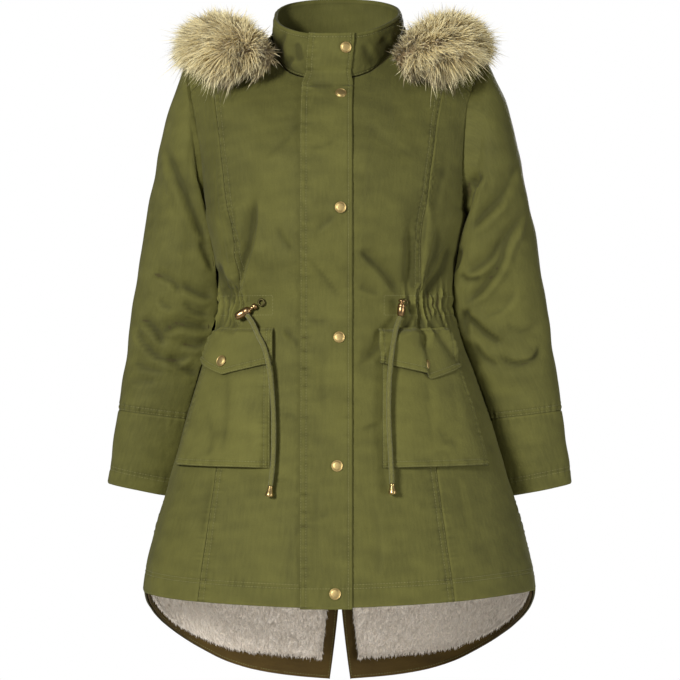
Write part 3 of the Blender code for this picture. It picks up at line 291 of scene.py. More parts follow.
@dataclass(frozen=True)
class Crease:
    """A soft trough that runs along a line seen from the front, with a ridge beside it, and with painted
    shade and a painted highlight in the cloth's colour.

    The points are (x, z) in metres. A positive ridge lies on the +X side of a line that runs down.
    """

    points: tuple[tuple[float, float], ...]
    width: float
    depth: float
    ridge: float

    # LINE: the width of the painted dark line in the trough
    LINE = 0.0034
    FADE = 0.24
    FULL_DEPTH = 0.0030
    # shares of the width: how wide the ends are, how the trough falls off, where the crest and the painted
    # highlight lie
    END_WIDTH = 0.4
    STEEP, GENTLE = 0.75, 1.4
    CREST_AT, CREST_HALF = 1.1, 0.9
    # a painted highlight beside the trough, then painted shade in its dark line and over the trough
    LIT_TONE, LIT_AT, LIT_HALF = 0.28, 0.9, 0.5
    LINE_AT, LINE_STEEP, LINE_GENTLE = 0.1, 0.8, 1.3
    LINE_TONE, SHADE_TONE, MOST_TONE = 0.8, 0.25, 1.5

    @classmethod
    def rows(cls, *rows: tuple[int, ...]) -> list["Crease"]:
        """Creases from whole numbers.

        Args:
            rows: width in mm, depth in tenths of a mm and ridge in tenths, then x and z of each point in mm.

        Returns:
            The creases.
        """
        made = []
        for width, depth, ridge, *flat in rows:
            places = [number / 1000 for number in flat]
            points = tuple(zip(places[::2], places[1::2]))
            made.append(cls(points, width / 1000, depth / 10000, ridge / 10))
        return made

    def read(self, x: Array, z: Array) -> Array:
        """How deep the crease is at some places, and the shade and highlight painted into the cloth's colour
        there.

        Args:
            x: their X.
            z: their Z.

        Returns:
            Depths in metres, negative on the ridge; then painted tones, below zero for the painted shade of
            the trough's dark line and above zero for the painted highlight.
        """
        line = catmull(np.array(self.points), 4 * len(self.points))
        margin = 4 * self.width
        low, high = line.min(axis=0) - margin, line.max(axis=0) + margin
        near = (x > low[0]) & (x < high[0]) & (z > low[1]) & (z < high[1])
        found = np.zeros((2, *x.shape))
        found[:, near] = self.shaped(*self.along(line, x[near], z[near]))
        return found

    @staticmethod
    def along(line: Array, x: Array, z: Array) -> Pair:
        """Shares of the line's length at the places nearest to some points, and signed distances from it.

        Args:
            line: the crease's line as rows of (x, z).
            x: places in X.
            z: heights.

        Returns:
            Shares, then distances.
        """
        run = np.diff(line, axis=0)
        length = np.hypot(run[:, 0], run[:, 1])
        start = np.concatenate([[0.0], np.cumsum(length)])
        best = np.full(x.shape, np.inf)
        reached, signed = np.zeros(x.shape), np.zeros(x.shape)
        for k, step in enumerate(run / length[:, None]):
            away_x, away_z = x - line[k, 0], z - line[k, 1]
            held = np.clip(away_x * step[0] + away_z * step[1], 0.0, length[k])
            off_x, off_z = away_x - held * step[0], away_z - held * step[1]
            distance = np.hypot(off_x, off_z)
            nearer = distance < best
            cross = step[1] * off_x - step[0] * off_z
            best = np.where(nearer, distance, best)
            reached = np.where(nearer, start[k] + held, reached)
            signed = np.where(nearer, -np.sign(cross) * distance, signed)
        return reached / start[-1], signed

    def shaped(self, share: Array, signed: Array) -> Array:
        """Depths of the trough and its ridge, and the tones of the painted shade in its dark line and of the
        painted highlight beside it.

        Args:
            share: shares of the crease's length.
            signed: signed distances from its line.

        Returns:
            Depths, then painted tones.
        """
        fade = smooth(share / self.FADE) * smooth((1 - share) / self.FADE)
        wide = self.width * (self.END_WIDTH + (1 - self.END_WIDTH) * fade)
        across = signed * (1.0 if self.ridge >= 0 else -1.0)
        trough = bump(across, np.where(across > 0, self.STEEP, self.GENTLE) * wide)
        crest = abs(self.ridge) * bump(across - self.CREST_AT * wide, self.CREST_HALF * wide)
        off = across - self.LINE_AT * wide
        line = bump(off, np.where(off > 0, self.LINE_STEEP, self.LINE_GENTLE) * self.LINE)
        # painted shade in the dark line and the trough, and a painted highlight beside them
        dark = self.LINE_TONE * line + self.SHADE_TONE * bump(off, self.GENTLE * wide)
        lit = self.LIT_TONE * bump(across - self.LIT_AT * wide, self.LIT_HALF * wide)
        strength = min(self.depth / self.FULL_DEPTH, self.MOST_TONE) * fade
        return np.stack([self.depth * fade * (trough - crest), strength * (lit - dark)])


def creased(creases: list[Crease], points: Array, mirror: int = 1) -> Array:
    """Depths and painted tones of all of some creases at points, which may be seen mirrored in X."""
    return sum(crease.read(mirror * points[..., 0], points[..., 2]) for crease in creases)


@dataclass(frozen=True)
class Ripples:
    """Small uneven waves of the cloth, the same on each run: their height in metres and wavelengths."""

    seed: int
    height: float
    shortest: float
    longest: float

    COUNT = 14

    def at(self, points: Array) -> Array:
        """Heights of the waves at points (..., 3).

        Args:
            points: places in metres.

        Returns:
            Heights in metres.
        """
        draw = np.random.default_rng(self.seed)
        way = unit(draw.normal(size=(self.COUNT, 3)))
        way *= (2 * math.pi / draw.uniform(self.shortest, self.longest, self.COUNT))[:, None]
        phase = draw.uniform(0, 2 * math.pi, self.COUNT)
        return self.height * math.sqrt(2 / self.COUNT) * np.sin(points @ way.T + phase).sum(axis=-1)


class BodySurface:
    """The surface that every panel lies on."""

    def __init__(self) -> None:
        """Builds the curves."""
        self.half_width, front, back = curves(SECTIONS)
        self.depth = {FRONT: front, BACK: back}
        self.upper = {face: curves(rows, FLAT_AT_SHOULDER) for face, rows in UPPERS.items()}
        self.armhole_x = dict(zip(Face, curves(ARMHOLES)))
        self.turn_side, self.turn_front, self.turn_reach = curves(TURNS)
        self.princess_x = Profile(PRINCESS)
        self.hem_z = {FRONT: Profile(FRONT_HEM), BACK: Profile(BACK_HEM)}
        self.facing_rise = Profile(FACING_RISE)

    def armhole_point(self, face: Face, share: Array) -> Array:
        """A point of the armhole, from the underarm (share 0) to the shoulder point (share 1).

        Args:
            face: the half of the body.
            share: shares from 0 to 1.

        Returns:
            Points (x, y, z).
        """
        y = face.value * ARMHOLE_BULGE[face] * np.sin(math.pi * share)
        z = ARMHOLE_MIDDLE_Z - ARMHOLE_HALF_HEIGHT * np.cos(math.pi * share)
        return np.stack([self.armhole_x[face](share), y, z], axis=-1)

    def arc(self, face: Face, level: Array) -> tuple[Array, ...]:
        """The four Bezier points of each level: metres below the underarm are negative, above it positive.

        Args:
            face: the half of the body.
            level: levels.

        Returns:
            Four arrays of points.
        """
        level = np.asarray(level, float)
        z = Z_UNDERARM + np.minimum(level, 0.0)
        width = self.half_width(z)
        y = face.value * self.depth[face](z)
        zero = np.zeros_like(z)
        low = (
            np.stack([zero, y, z], -1),
            np.stack([ROUNDNESS * width, y, z], -1),
            np.stack([width, ROUNDNESS * y, z], -1),
            np.stack([width, zero, z], -1),
        )
        share = np.clip(level / UPPER_REACH, 0.0, 1.0)
        y, z, reach, *pull = (curve(share) for curve in self.upper[face])
        centre = np.stack([zero, y, z], -1)
        edge = self.armhole_point(face, share)
        drop = -SHOULDER_DROP * smooth(2 * share - 1)
        reach = np.stack([reach, zero, drop], -1)
        pull = np.stack(pull, -1)
        high = (centre, centre + reach, edge + pull, edge)
        above = (level > 0)[..., None]
        return tuple(np.where(above, h, l) for h, l in zip(high, low))

    def untwisted(self, face: Face, across: Array, level: Array) -> Array:
        """Points of the symmetric surface on the +X side.

        Args:
            face: the half of the body.
            across: across values, 0 at the centre and 1 at the side.
            level: levels.

        Returns:
            Points.
        """
        a, b, c, d = self.arc(face, level)
        u = np.asarray(across, float)[..., None]
        v = 1 - u
        return v**3 * a + 3 * v * v * u * b + 3 * v * u * u * c + u**3 * d

    def turned(self, points: Array) -> Array:
        """The garment hangs a little turned, so its centre front lies to the right.

        Args:
            points: places of the symmetric surface.

        Returns:
            The turned points.
        """
        x, y, z = np.moveaxis(points, -1, 0)
        side = self.turn_side(z)
        ahead = side + (self.turn_front(z) - side) * smooth(-y / self.turn_reach(z))
        behind = side * (1 - smooth(y / 0.10))
        return np.stack([x - np.where(y < 0, ahead, behind), y, z], -1)

    def points(self, face: Face, side: Side, across: Array, level: Array) -> Array:
        """Points of the smooth surface of one side.

        Args:
            face: the half of the body.
            side: the wearer's side.
            across: across values, 0 at the centre and 1 at the side.
            level: levels.

        Returns:
            Points.
        """
        found = self.untwisted(face, across, level)
        return self.turned(found * np.array([side.value, 1, 1]))

    def surface(self, face: Face, side: Side, across: Array, level: Array) -> Pair:
        """Points and outward normals of the smooth surface of one side.

        Args:
            face: the half of the body.
            side: the wearer's side.
            across: across values, 0 at the centre and 1 at the side.
            level: levels.

        Returns:
            Points, then normals.
        """
        across, level = np.broadcast_arrays(np.asarray(across, float), np.asarray(level, float))
        u0, u1 = np.maximum(across - ACROSS_STEP, 0), np.minimum(across + ACROSS_STEP, 1)
        l0, l1 = level - LEVEL_STEP, np.minimum(level + LEVEL_STEP, UPPER_REACH)
        along_u = self.points(face, side, u1, level) - self.points(face, side, u0, level)
        along_l = self.points(face, side, across, l1) - self.points(face, side, across, l0)
        normal = unit(np.cross(along_u, along_l))
        point = self.points(face, side, across, level)
        middle = np.zeros_like(point)
        middle[..., 2] = np.minimum(point[..., 2] - 0.01, -0.15)
        inward = ((normal * (point - middle)).sum(-1) < 0)[..., None]
        return point, np.where(inward, -normal, normal)

    def across_of_x(self, face: Face, level: Array, x: Array) -> Array:
        """Where a level passes the distance x from the centre line."""
        level, x = np.broadcast_arrays(np.asarray(level, float), np.asarray(x, float))
        return solve(lambda u: self.untwisted(face, u, level)[..., 0] - x, np.zeros_like(x), np.ones_like(x))

    def across_princess(self, level: Array) -> Array:
        """Where a level passes the princess seam.

        Args:
            level: levels.

        Returns:
            Across values.
        """
        level = np.asarray(level, float)

        def past(u: Array) -> Array:
            """How far past the seam an across value lies."""
            point = self.untwisted(FRONT, u, level)
            return point[..., 0] - self.princess_x(point[..., 2])

        return solve(past, np.zeros_like(level), np.ones_like(level))

    def share_of_width(self, face: Face, level: Array, metres: Array, across: Array) -> Array:
        """How far in the across value a distance in metres reaches.

        Args:
            face: the half of the body.
            level: levels.
            metres: distances in metres.
            across: where it is measured.

        Returns:
            Differences in the across value.
        """
        low, high = np.maximum(across - 0.01, 0.0), np.minimum(across + 0.01, 1.0)
        run = self.untwisted(face, high, level) - self.untwisted(face, low, level)
        return metres * (high - low) / np.linalg.norm(run, axis=-1)

    def place_xz(self, x: float, z: float) -> Pair:
        """The point and normal over the front where the turned garment is at x, z below the underarm.

        Args:
            x: places in X.
            z: heights.

        Returns:
            The point and the normal.
        """
        level = level_of(z)
        low, high = -1.0, 1.0
        for _ in range(BISECTIONS):
            middle = (low + high) / 2
            at = float(self.points(FRONT, Side.of(middle), abs(middle), level)[0])
            low, high = (middle, high) if at < x else (low, middle)
        return self.surface(FRONT, Side.of(low), abs(low), level)


BODY = BodySurface()


def level_of(z: Array | float) -> Array | float:
    """The level of a height."""
    return z - Z_UNDERARM


# ---- the neckline ----
NECK_HALF, NECK_FRONT, NECK_BACK, NECK_POWER = 0.087, 0.080, 0.054, 0.80
NECK_STEPS = 48
YOKE_NECK_ANGLE = 1.22
YOKE_EDGE_LEVEL = {FRONT: 0.69 * UPPER_REACH, BACK: 0.60 * UPPER_REACH}
YOKE_CENTRE_BACK_LEVEL = 0.56 * UPPER_REACH


def squared(value: Array) -> Array:
    """A sine or cosine turned into that of a rounded square."""
    return np.sign(value) * np.abs(value) ** NECK_POWER


class Neckline:
    """Where the collar and the panels meet, by the angle from the centre front."""

    def __init__(self) -> None:
        """Finds the neckline on the body."""
        self.angles = np.linspace(0.0, math.pi, NECK_STEPS + 1)
        places = [self.place(angle) for angle in self.angles]
        self.is_front = np.array([place[0] is FRONT for place in places])
        self.across = np.array([place[1] for place in places])
        self.level = np.array([place[2] for place in places])
        self.yoke = self.place(YOKE_NECK_ANGLE)
        front = self.is_front & (self.across < self.yoke[1])
        self.front_across = np.append(self.across[front], self.yoke[1])
        self.front_level = np.append(self.level[front], self.yoke[2])

    @staticmethod
    def target(angle: float) -> tuple[float, float]:
        """Plan position of the neckline at an angle."""
        reach = NECK_FRONT if math.cos(angle) > 0 else NECK_BACK
        return NECK_HALF * float(squared(math.sin(angle))), -reach * float(squared(math.cos(angle)))

    def place(self, angle: float) -> tuple[Face, float, float]:
        """The face, the across value and the level of the neckline at an angle.

        Args:
            angle: the angle from the centre front.

        Returns:
            The face, the across value and the level.
        """
        x, y = self.target(angle)
        face = FRONT if y < 0 else BACK

        def past(level: Array) -> Array:
            """How far inside the neckline a level lies."""
            across = BODY.across_of_x(face, level, x)
            return abs(y) - np.abs(BODY.untwisted(face, across, level)[..., 1])

        level = float(solve(past, np.array(0.5 * UPPER_REACH), np.array(UPPER_REACH)))
        return face, float(BODY.across_of_x(face, level, x)), level

    def front_top(self, across: Array) -> Array:
        """The level where a front panel ends: the neckline, then the yoke seam.

        Args:
            across: across values, 0 at the centre and 1 at the side.

        Returns:
            Levels.
        """
        yoke_across, yoke_level = self.yoke[1], self.yoke[2]
        share = (across - yoke_across) / (1 - yoke_across)
        beyond = yoke_level + (YOKE_EDGE_LEVEL[FRONT] - yoke_level) * share
        return np.where(across < yoke_across, np.interp(across, self.front_across, self.front_level), beyond)

    def read(self, angle: Array) -> Pair:
        """Across values and levels of the neckline at some angles."""
        return np.interp(angle, self.angles, self.across), np.interp(angle, self.angles, self.level)


NECK = Neckline()


def back_top(across: Array) -> Array:
    """The level of the back yoke seam."""
    return YOKE_CENTRE_BACK_LEVEL + (YOKE_EDGE_LEVEL[BACK] - YOKE_CENTRE_BACK_LEVEL) * across


def split_half(z: Array) -> Array:
    """Half of the gap at the centre back: a seam's gap, then the fishtail's split."""
    return SEAM / 2 + SPLIT_HALF * (np.maximum(SPLIT_TOP_Z - z, 0.0) / SPLIT_DROP) ** SPLIT_FLARE


# ---- folds that the cloth keeps ----
@dataclass(frozen=True)
class Fold:
    """A large straight fold of the body, from one place to another as seen from the front."""

    x0: float
    z0: float
    x1: float
    z1: float
    width: float
    depth: float

    # shares of the fold's length that it reaches past its ends, and over which it fades
    BEFORE, FADE_IN = 0.15, 0.5
    BEYOND, FADE_OUT = 1.12, 0.25

    def depth_at(self, x: Array, z: Array) -> Array:
        """How deep the fold is at some places.

        Args:
            x: places in X.
            z: heights.

        Returns:
            Depths in metres.
        """
        run_x, run_z = self.x1 - self.x0, self.z1 - self.z0
        along = ((x - self.x0) * run_x + (z - self.z0) * run_z) / (run_x**2 + run_z**2)
        held = np.clip(along, 0.0, 1.0)
        away = np.hypot(x - self.x0 - held * run_x, z - self.z0 - held * run_z)
        ends = smooth((along + self.BEFORE) / self.FADE_IN) * smooth((self.BEYOND - along) / self.FADE_OUT)
        return self.depth * ends * bump(away, self.width)


FOLDS = {
    FRONT: [Fold(*row) for row in (
        (-0.118, -0.220, -0.146, -0.376, 0.013, 0.0060), (0.104, -0.220, 0.099, -0.376, 0.013, 0.0060),
        (0.016, -0.286, 0.086, -0.362, 0.014, 0.0050), (0.152, -0.290, 0.122, -0.374, 0.012, 0.0045),
        (0.082, -0.392, 0.015, -0.460, 0.013, 0.0045), (0.112, -0.382, 0.116, -0.440, 0.010, 0.0050),
        (-0.046, -0.310, 0.004, -0.372, 0.012, 0.0030), (-0.160, -0.384, -0.159, -0.408, 0.010, 0.0035),
    )],
    BACK: [Fold(*row) for row in (
        (-0.110, -0.300, -0.085, -0.378, 0.014, 0.0055), (0.105, -0.290, 0.090, -0.378, 0.014, 0.0055),
        (-0.030, -0.320, -0.040, -0.378, 0.013, 0.0045), (0.040, -0.380, 0.052, -0.470, 0.014, 0.0045),
        (-0.075, -0.380, -0.095, -0.500, 0.015, 0.0050), (0.120, -0.380, 0.142, -0.480, 0.014, 0.0045),
    )],
}
WAIST_PINCH, WAIST_PINCH_HALF = 0.0035, 0.012
CASING_HALF = 0.0135

BODY_CREASES = {
    FRONT: Crease.rows(
        (7, 40, 6, -115, -222, -119, -261, -125, -295, -136, -326, -142, -351, -139, -375),
        (7, 24, 5, -155, -248, -149, -278, -142, -308),
        (7, 36, 6, -170, -315, -164, -338, -151, -356, -145, -375),
        (6, 30, 5, -165, -349, -155, -364, -143, -378),
        (7, 14, 4, -88, -268, -77, -291, -61, -305),
        (7, 34, -5, 19, -301, 43, -317, 69, -343, 86, -369),
        (6, 22, -4, 21, -353, 38, -357, 57, -365),
        (6, 34, 5, 98, -265, 101, -300, 100, -334, 101, -369),
        (7, 26, 5, 111, -218, 117, -261, 111, -308, 106, -365),
        (8, 48, -5, 154, -289, 143, -326, 125, -351, 113, -373),
        (7, 22, -4, 137, -265, 134, -300, 121, -336, 117, -364),
        (8, 24, 5, 88, -391, 69, -420, 41, -446, 21, -463),
        (5, 30, 5, 112, -391, 117, -416, 115, -439),
        (6, 36, 5, 124, -394, 137, -420, 155, -447, 172, -467),
        (5, 22, 5, 101, -393, 94, -407, 79, -424),
        (7, 20, -5, -79, -409, -64, -424, -55, -438),
        (6, 24, 5, -167, -394, -171, -411, -179, -426),
        (5, 20, 5, -155, -394, -146, -407, -142, -424),
        (4, 10, 4, -80, -528, -66, -529, -55, -535),
        (4, 10, 4, -88, -616, -73, -617, -59, -620),
        (5, 12, 4, 30, -550, 44, -543, 60, -541),
        (9, 10, 4, -58, -673, -67, -715, -71, -763),
        (10, 10, 4, 44, -646, 52, -701, 49, -756),
        (10, 12, 4, -173, -605, -184, -653, -192, -701),
        (10, 12, 4, 154, -605, 168, -657, 179, -708),
        (9, 9, 4, -55, -124, -74, -151, -107, -179),
        (9, 10, 4, 30, -121, 60, -151, 110, -179),
        (8, 14, 4, 148, -179, 137, -214, 132, -253),
    ),
    BACK: Crease.rows(
        (9, 36, 5, -150, -200, -128, -262, -112, -330, -96, -368),
        (10, 34, -5, 148, -206, 130, -258, 110, -318, 96, -366),
        (8, 26, 5, -60, -268, -50, -318, -46, -368),
        (8, 28, 5, 40, -282, 52, -322, 46, -366),
        (7, 22, -5, 4, -300, 10, -336, 4, -366),
        (7, 26, 5, -150, -330, -140, -350, -136, -368),
        (10, 32, 5, 46, -388, 56, -430, 62, -500),
        (10, 28, -5, -12, -388, -18, -440, -12, -520),
        (11, 34, 5, -86, -388, -104, -450, -122, -540),
        (10, 32, 5, 118, -388, 140, -440, 154, -520),
        (9, 28, 5, -146, -390, -168, -440, -186, -500),
        (14, 34, 5, 90, -560, 110, -650, 116, -760),
        (14, 34, -5, -90, -560, -112, -660, -118, -780),
        (11, 18, 4, -110, -120, -60, -160, -20, -176),
        (11, 18, 4, 112, -124, 66, -158, 26, -180),
    ),
}
SLEEVE_CREASES = {
    RIGHT: Crease.rows(
        (10, 40, -5, -248, -148, -232, -189, -209, -241, -183, -302),
        (7, 30, -5, -199, -284, -187, -309, -177, -333),
        (6, 32, -6, -270, -333, -249, -337, -232, -349, -226, -364),
        (5, 20, -5, -258, -366, -249, -377, -237, -386),
        (8, 36, -5, -228, -346, -203, -360, -176, -368),
        (7, 42, -5, -287, -394, -271, -404, -258, -418, -249, -436),
        (9, 52, -6, -258, -418, -241, -409, -222, -404, -175, -413),
        (6, 30, -5, -291, -411, -279, -431, -264, -443),
        (7, 30, -5, -275, -433, -258, -450, -230, -455, -206, -446),
        (7, 30, -5, -248, -449, -224, -466, -197, -477),
        (6, 22, -4, -297, -455, -274, -466, -246, -473),
        (6, 28, -5, -229, -431, -203, -435, -180, -427),
        (6, 16, -4, -303, -483, -279, -486, -257, -483),
        (6, 24, -4, -222, -368, -209, -385, -182, -393),
    ),
    LEFT: Crease.rows(
        (8, 46, 5, 204, -194, 183, -214, 171, -245),
        (10, 24, 4, 254, -167, 233, -214, 211, -243, 176, -280),
        (8, 48, 6, 264, -242, 245, -270, 233, -292, 226, -315, 213, -338, 194, -361, 171, -380),
        (8, 30, 5, 233, -280, 215, -308, 192, -326, 168, -333),
        (8, 46, 5, 168, -382, 189, -402, 211, -421, 234, -433),
        (6, 34, 5, 223, -444, 239, -458, 260, -459, 277, -450, 284, -431),
        (6, 30, 5, 167, -331, 180, -341, 201, -339),
        (6, 26, 5, 183, -377, 177, -402, 183, -427),
        (6, 32, 5, 170, -294, 166, -314, 158, -333),
        (6, 24, 4, 188, -425, 204, -450, 228, -465),
        (8, 24, 5, 234, -225, 207, -249, 183, -268),
        (8, 18, 4, 251, -349, 233, -379, 204, -395),
        (7, 18, 4, 231, -402, 257, -414, 283, -402),
    ),
}
CLOTH_RIPPLES = Ripples(seed=7, height=0.00028, shortest=0.024, longest=0.075)
# not in the geometry: its heights are tones of painted shade and highlight of small wrinkles
PAINTED_WRINKLES = Ripples(seed=29, height=0.12, shortest=0.011, longest=0.050)
LYING = np.array([0.62, 0.62, 1.0])


CREASE_GAIN = 1.7
# painted shade in the gathers' hollows and painted highlight on their crests
GATHER_PAINTED_TONE = 1.1
CASING_PULL = 0.0012
PLACKET_MARGIN, PLACKET_SOFT = 0.006, 0.030
# painted shade and highlight of the puckers beside seams, and painted shade in the stitched rows' grooves
PUCKER_PAINTED_TONE = 0.20
ROW_PAINTED_SHADE = 0.40
# how much of the creases' painted shade and highlight each face takes
TONE_SHARE = {FRONT: 1.0, BACK: 0.6}
# painted shade over the chest
CHEST_SHADE = 0.34
CHEST_Z, CHEST_HALF = -0.130, 0.100
SIDE_FILL = 0.0050
SIDE_FILL_Z, SIDE_FILL_HALF = -0.222, 0.062
SIDE_FILL_X, SIDE_FILL_SOFT = 0.145, 0.025


@dataclass(frozen=True)
class Gathers:
    """The small folds that the drawcord pulls together at the sides of the waist and round the back."""

    height: float = 0.0034
    gain: float = 0.8
    left_x: float = 0.082
    left_soft: float = 0.016
    right_x: float = -0.124
    right_soft: float = 0.010
    back_mean: float = 0.75
    back_swing: float = 0.25
    back_wave: float = 21
    radius: float = 0.16
    centre_y: float = 0.05
    closing: float = 0.9
    flat_half: float = 0.006
    reach: float = 0.019
    reach_swing: float = 0.011

    def depth_at(self, face: Face, points: Array) -> Array:
        """How deep the gathers are.

        Args:
            face: the half of the body.
            points: places in metres.

        Returns:
            Depths in metres.
        """
        x, y, z = np.moveaxis(points, -1, 0)
        away = z - Z_WAIST
        pulled = smooth((x - self.left_x) / self.left_soft) + smooth((self.right_x - x) / self.right_soft)
        if face is BACK:
            pulled = self.back_mean + self.back_swing * np.sin(x * self.back_wave)
        round_body = np.arctan2(x, face.value * y + self.centre_y) * self.radius
        fan = round_body * (1 - self.closing * np.abs(away))
        wave = np.sin(fan * 610 + 1.9 * np.sin(fan * 97) + 25 * away)
        wave = wave + 0.5 * np.sin(fan * 1130 + 40 * away + 1.0)
        tall = self.reach + self.reach_swing * np.sin(fan * 173 + 0.7)
        return self.height * pulled * wave * bump(np.abs(away) - self.flat_half, tall) * self.gain


GATHERS = Gathers()


def large_depth(face: Face, x: Array, z: Array) -> Pair:
    """The free share of the cloth beside the placket, and how deep the waist and the large folds lie.

    Args:
        face: the half of the body.
        x: places on it.
        z: their heights.

    Returns:
        Shares, then depths in metres.
    """
    free = np.ones_like(x)
    if face is FRONT:
        free = smooth((np.abs(x + TURN_FRONT) - PLACKET_HALF - PLACKET_MARGIN) / PLACKET_SOFT)
    folds = sum(fold.depth_at(x, z) for fold in FOLDS[face])
    return free, free * (WAIST_PINCH * bump(z - Z_WAIST, WAIST_PINCH_HALF) + folds)


def body_depth(face: Face, points: Array) -> Array:
    """How deep the folds, the drawn waist, the creases and the ripples lie below the smooth surface.

    Args:
        face: the half of the body.
        points: places on its smooth surface.

    Returns:
        Depths in metres.
    """
    x, z = points[..., 0], points[..., 2]
    free, depth = large_depth(face, x, z)
    casing = 1 - 0.6 * bump(z - Z_WAIST, 0.8 * CASING_HALF)
    depth += CREASE_GAIN * smooth(free * 3) * casing * creased(BODY_CREASES[face], points)[0]
    depth += GATHERS.depth_at(face, points) - CASING_PULL * bump(z - Z_WAIST, CASING_HALF)
    side = smooth((np.abs(x) - SIDE_FILL_X) / SIDE_FILL_SOFT)
    depth -= SIDE_FILL * bump(z - SIDE_FILL_Z, SIDE_FILL_HALF) * side
    return depth - CLOTH_RIPPLES.at(points)


def body_tone(face: Face, points: Array) -> Array:
    """The shade and highlight painted into the cloth's colour by the creases and the gathers, and the painted
    shade over the chest.

    Args:
        face: the half of the body.
        points: places in metres.

    Returns:
        Painted tones: painted shade below zero, painted highlight above it, zero for plain cloth.
    """
    # painted shade and highlight of the gathers, then painted shade over the chest
    tone = -GATHER_PAINTED_TONE * GATHERS.depth_at(face, points) / GATHERS.height
    tone = tone - CHEST_SHADE * bump(points[..., 2] - CHEST_Z, CHEST_HALF)
    return tone + TONE_SHARE[face] * creased(BODY_CREASES[face], points)[1]


# ---- cloth pieces ----
class Edge(Enum):
    """An edge of a grid of points: its first or last column, its bottom or top row."""

    FIRST = "first"
    LAST = "last"
    BOTTOM = "bottom"
    TOP = "top"


FIRST, LAST, BOTTOM, TOP = Edge
UPRIGHT, ENDS = (FIRST, LAST), (BOTTOM, TOP)


def spread(width: float, step: float, near: tuple[float, ...]) -> Array:
    """Shares of a width, closer together beside both of its edges.

    Args:
        width: the width in metres.
        step: the largest distance apart.
        near: distances from each edge that get a line of their own.

    Returns:
        Rising shares from 0 to 1.
    """
    near = [distance for distance in near if distance < 0.4 * width]
    last = near[-1] if near else 0.0
    count = max(2, math.ceil((width - 2 * last) / step))
    middle = np.linspace(last, width - last, count + 1)
    places = near[:-1] + list(middle) + [width - distance for distance in near[:-1]][::-1]
    return np.array(places) / width


SEAM_LINES = (0.0, 0.0006, 0.0013, 0.0021, 0.0030, 0.0040, 0.0051, 0.0060, 0.0069, 0.0078, 0.0087, 0.0096,
              0.0125)
HEM_LINES = SEAM_LINES + (0.0160, 0.0200, 0.0240, 0.0250, 0.0260, 0.0270, 0.0285, 0.0300, 0.0310, 0.0320,
                          0.0335)
NO_LINES = (0.0, 0.0009, 0.0024)


def arc_lengths(points: Array, axis: int) -> Array:
    """Distances along a grid's rows or columns from their first point.

    Args:
        points: the grid.
        axis: the axis that runs along the lines.

    Returns:
        Distances in metres.
    """
    steps = np.linalg.norm(np.diff(points, axis=axis), axis=-1)
    first = np.zeros_like(np.take(steps, [0], axis=axis))
    return np.concatenate([first, np.cumsum(steps, axis=axis)], axis=axis)


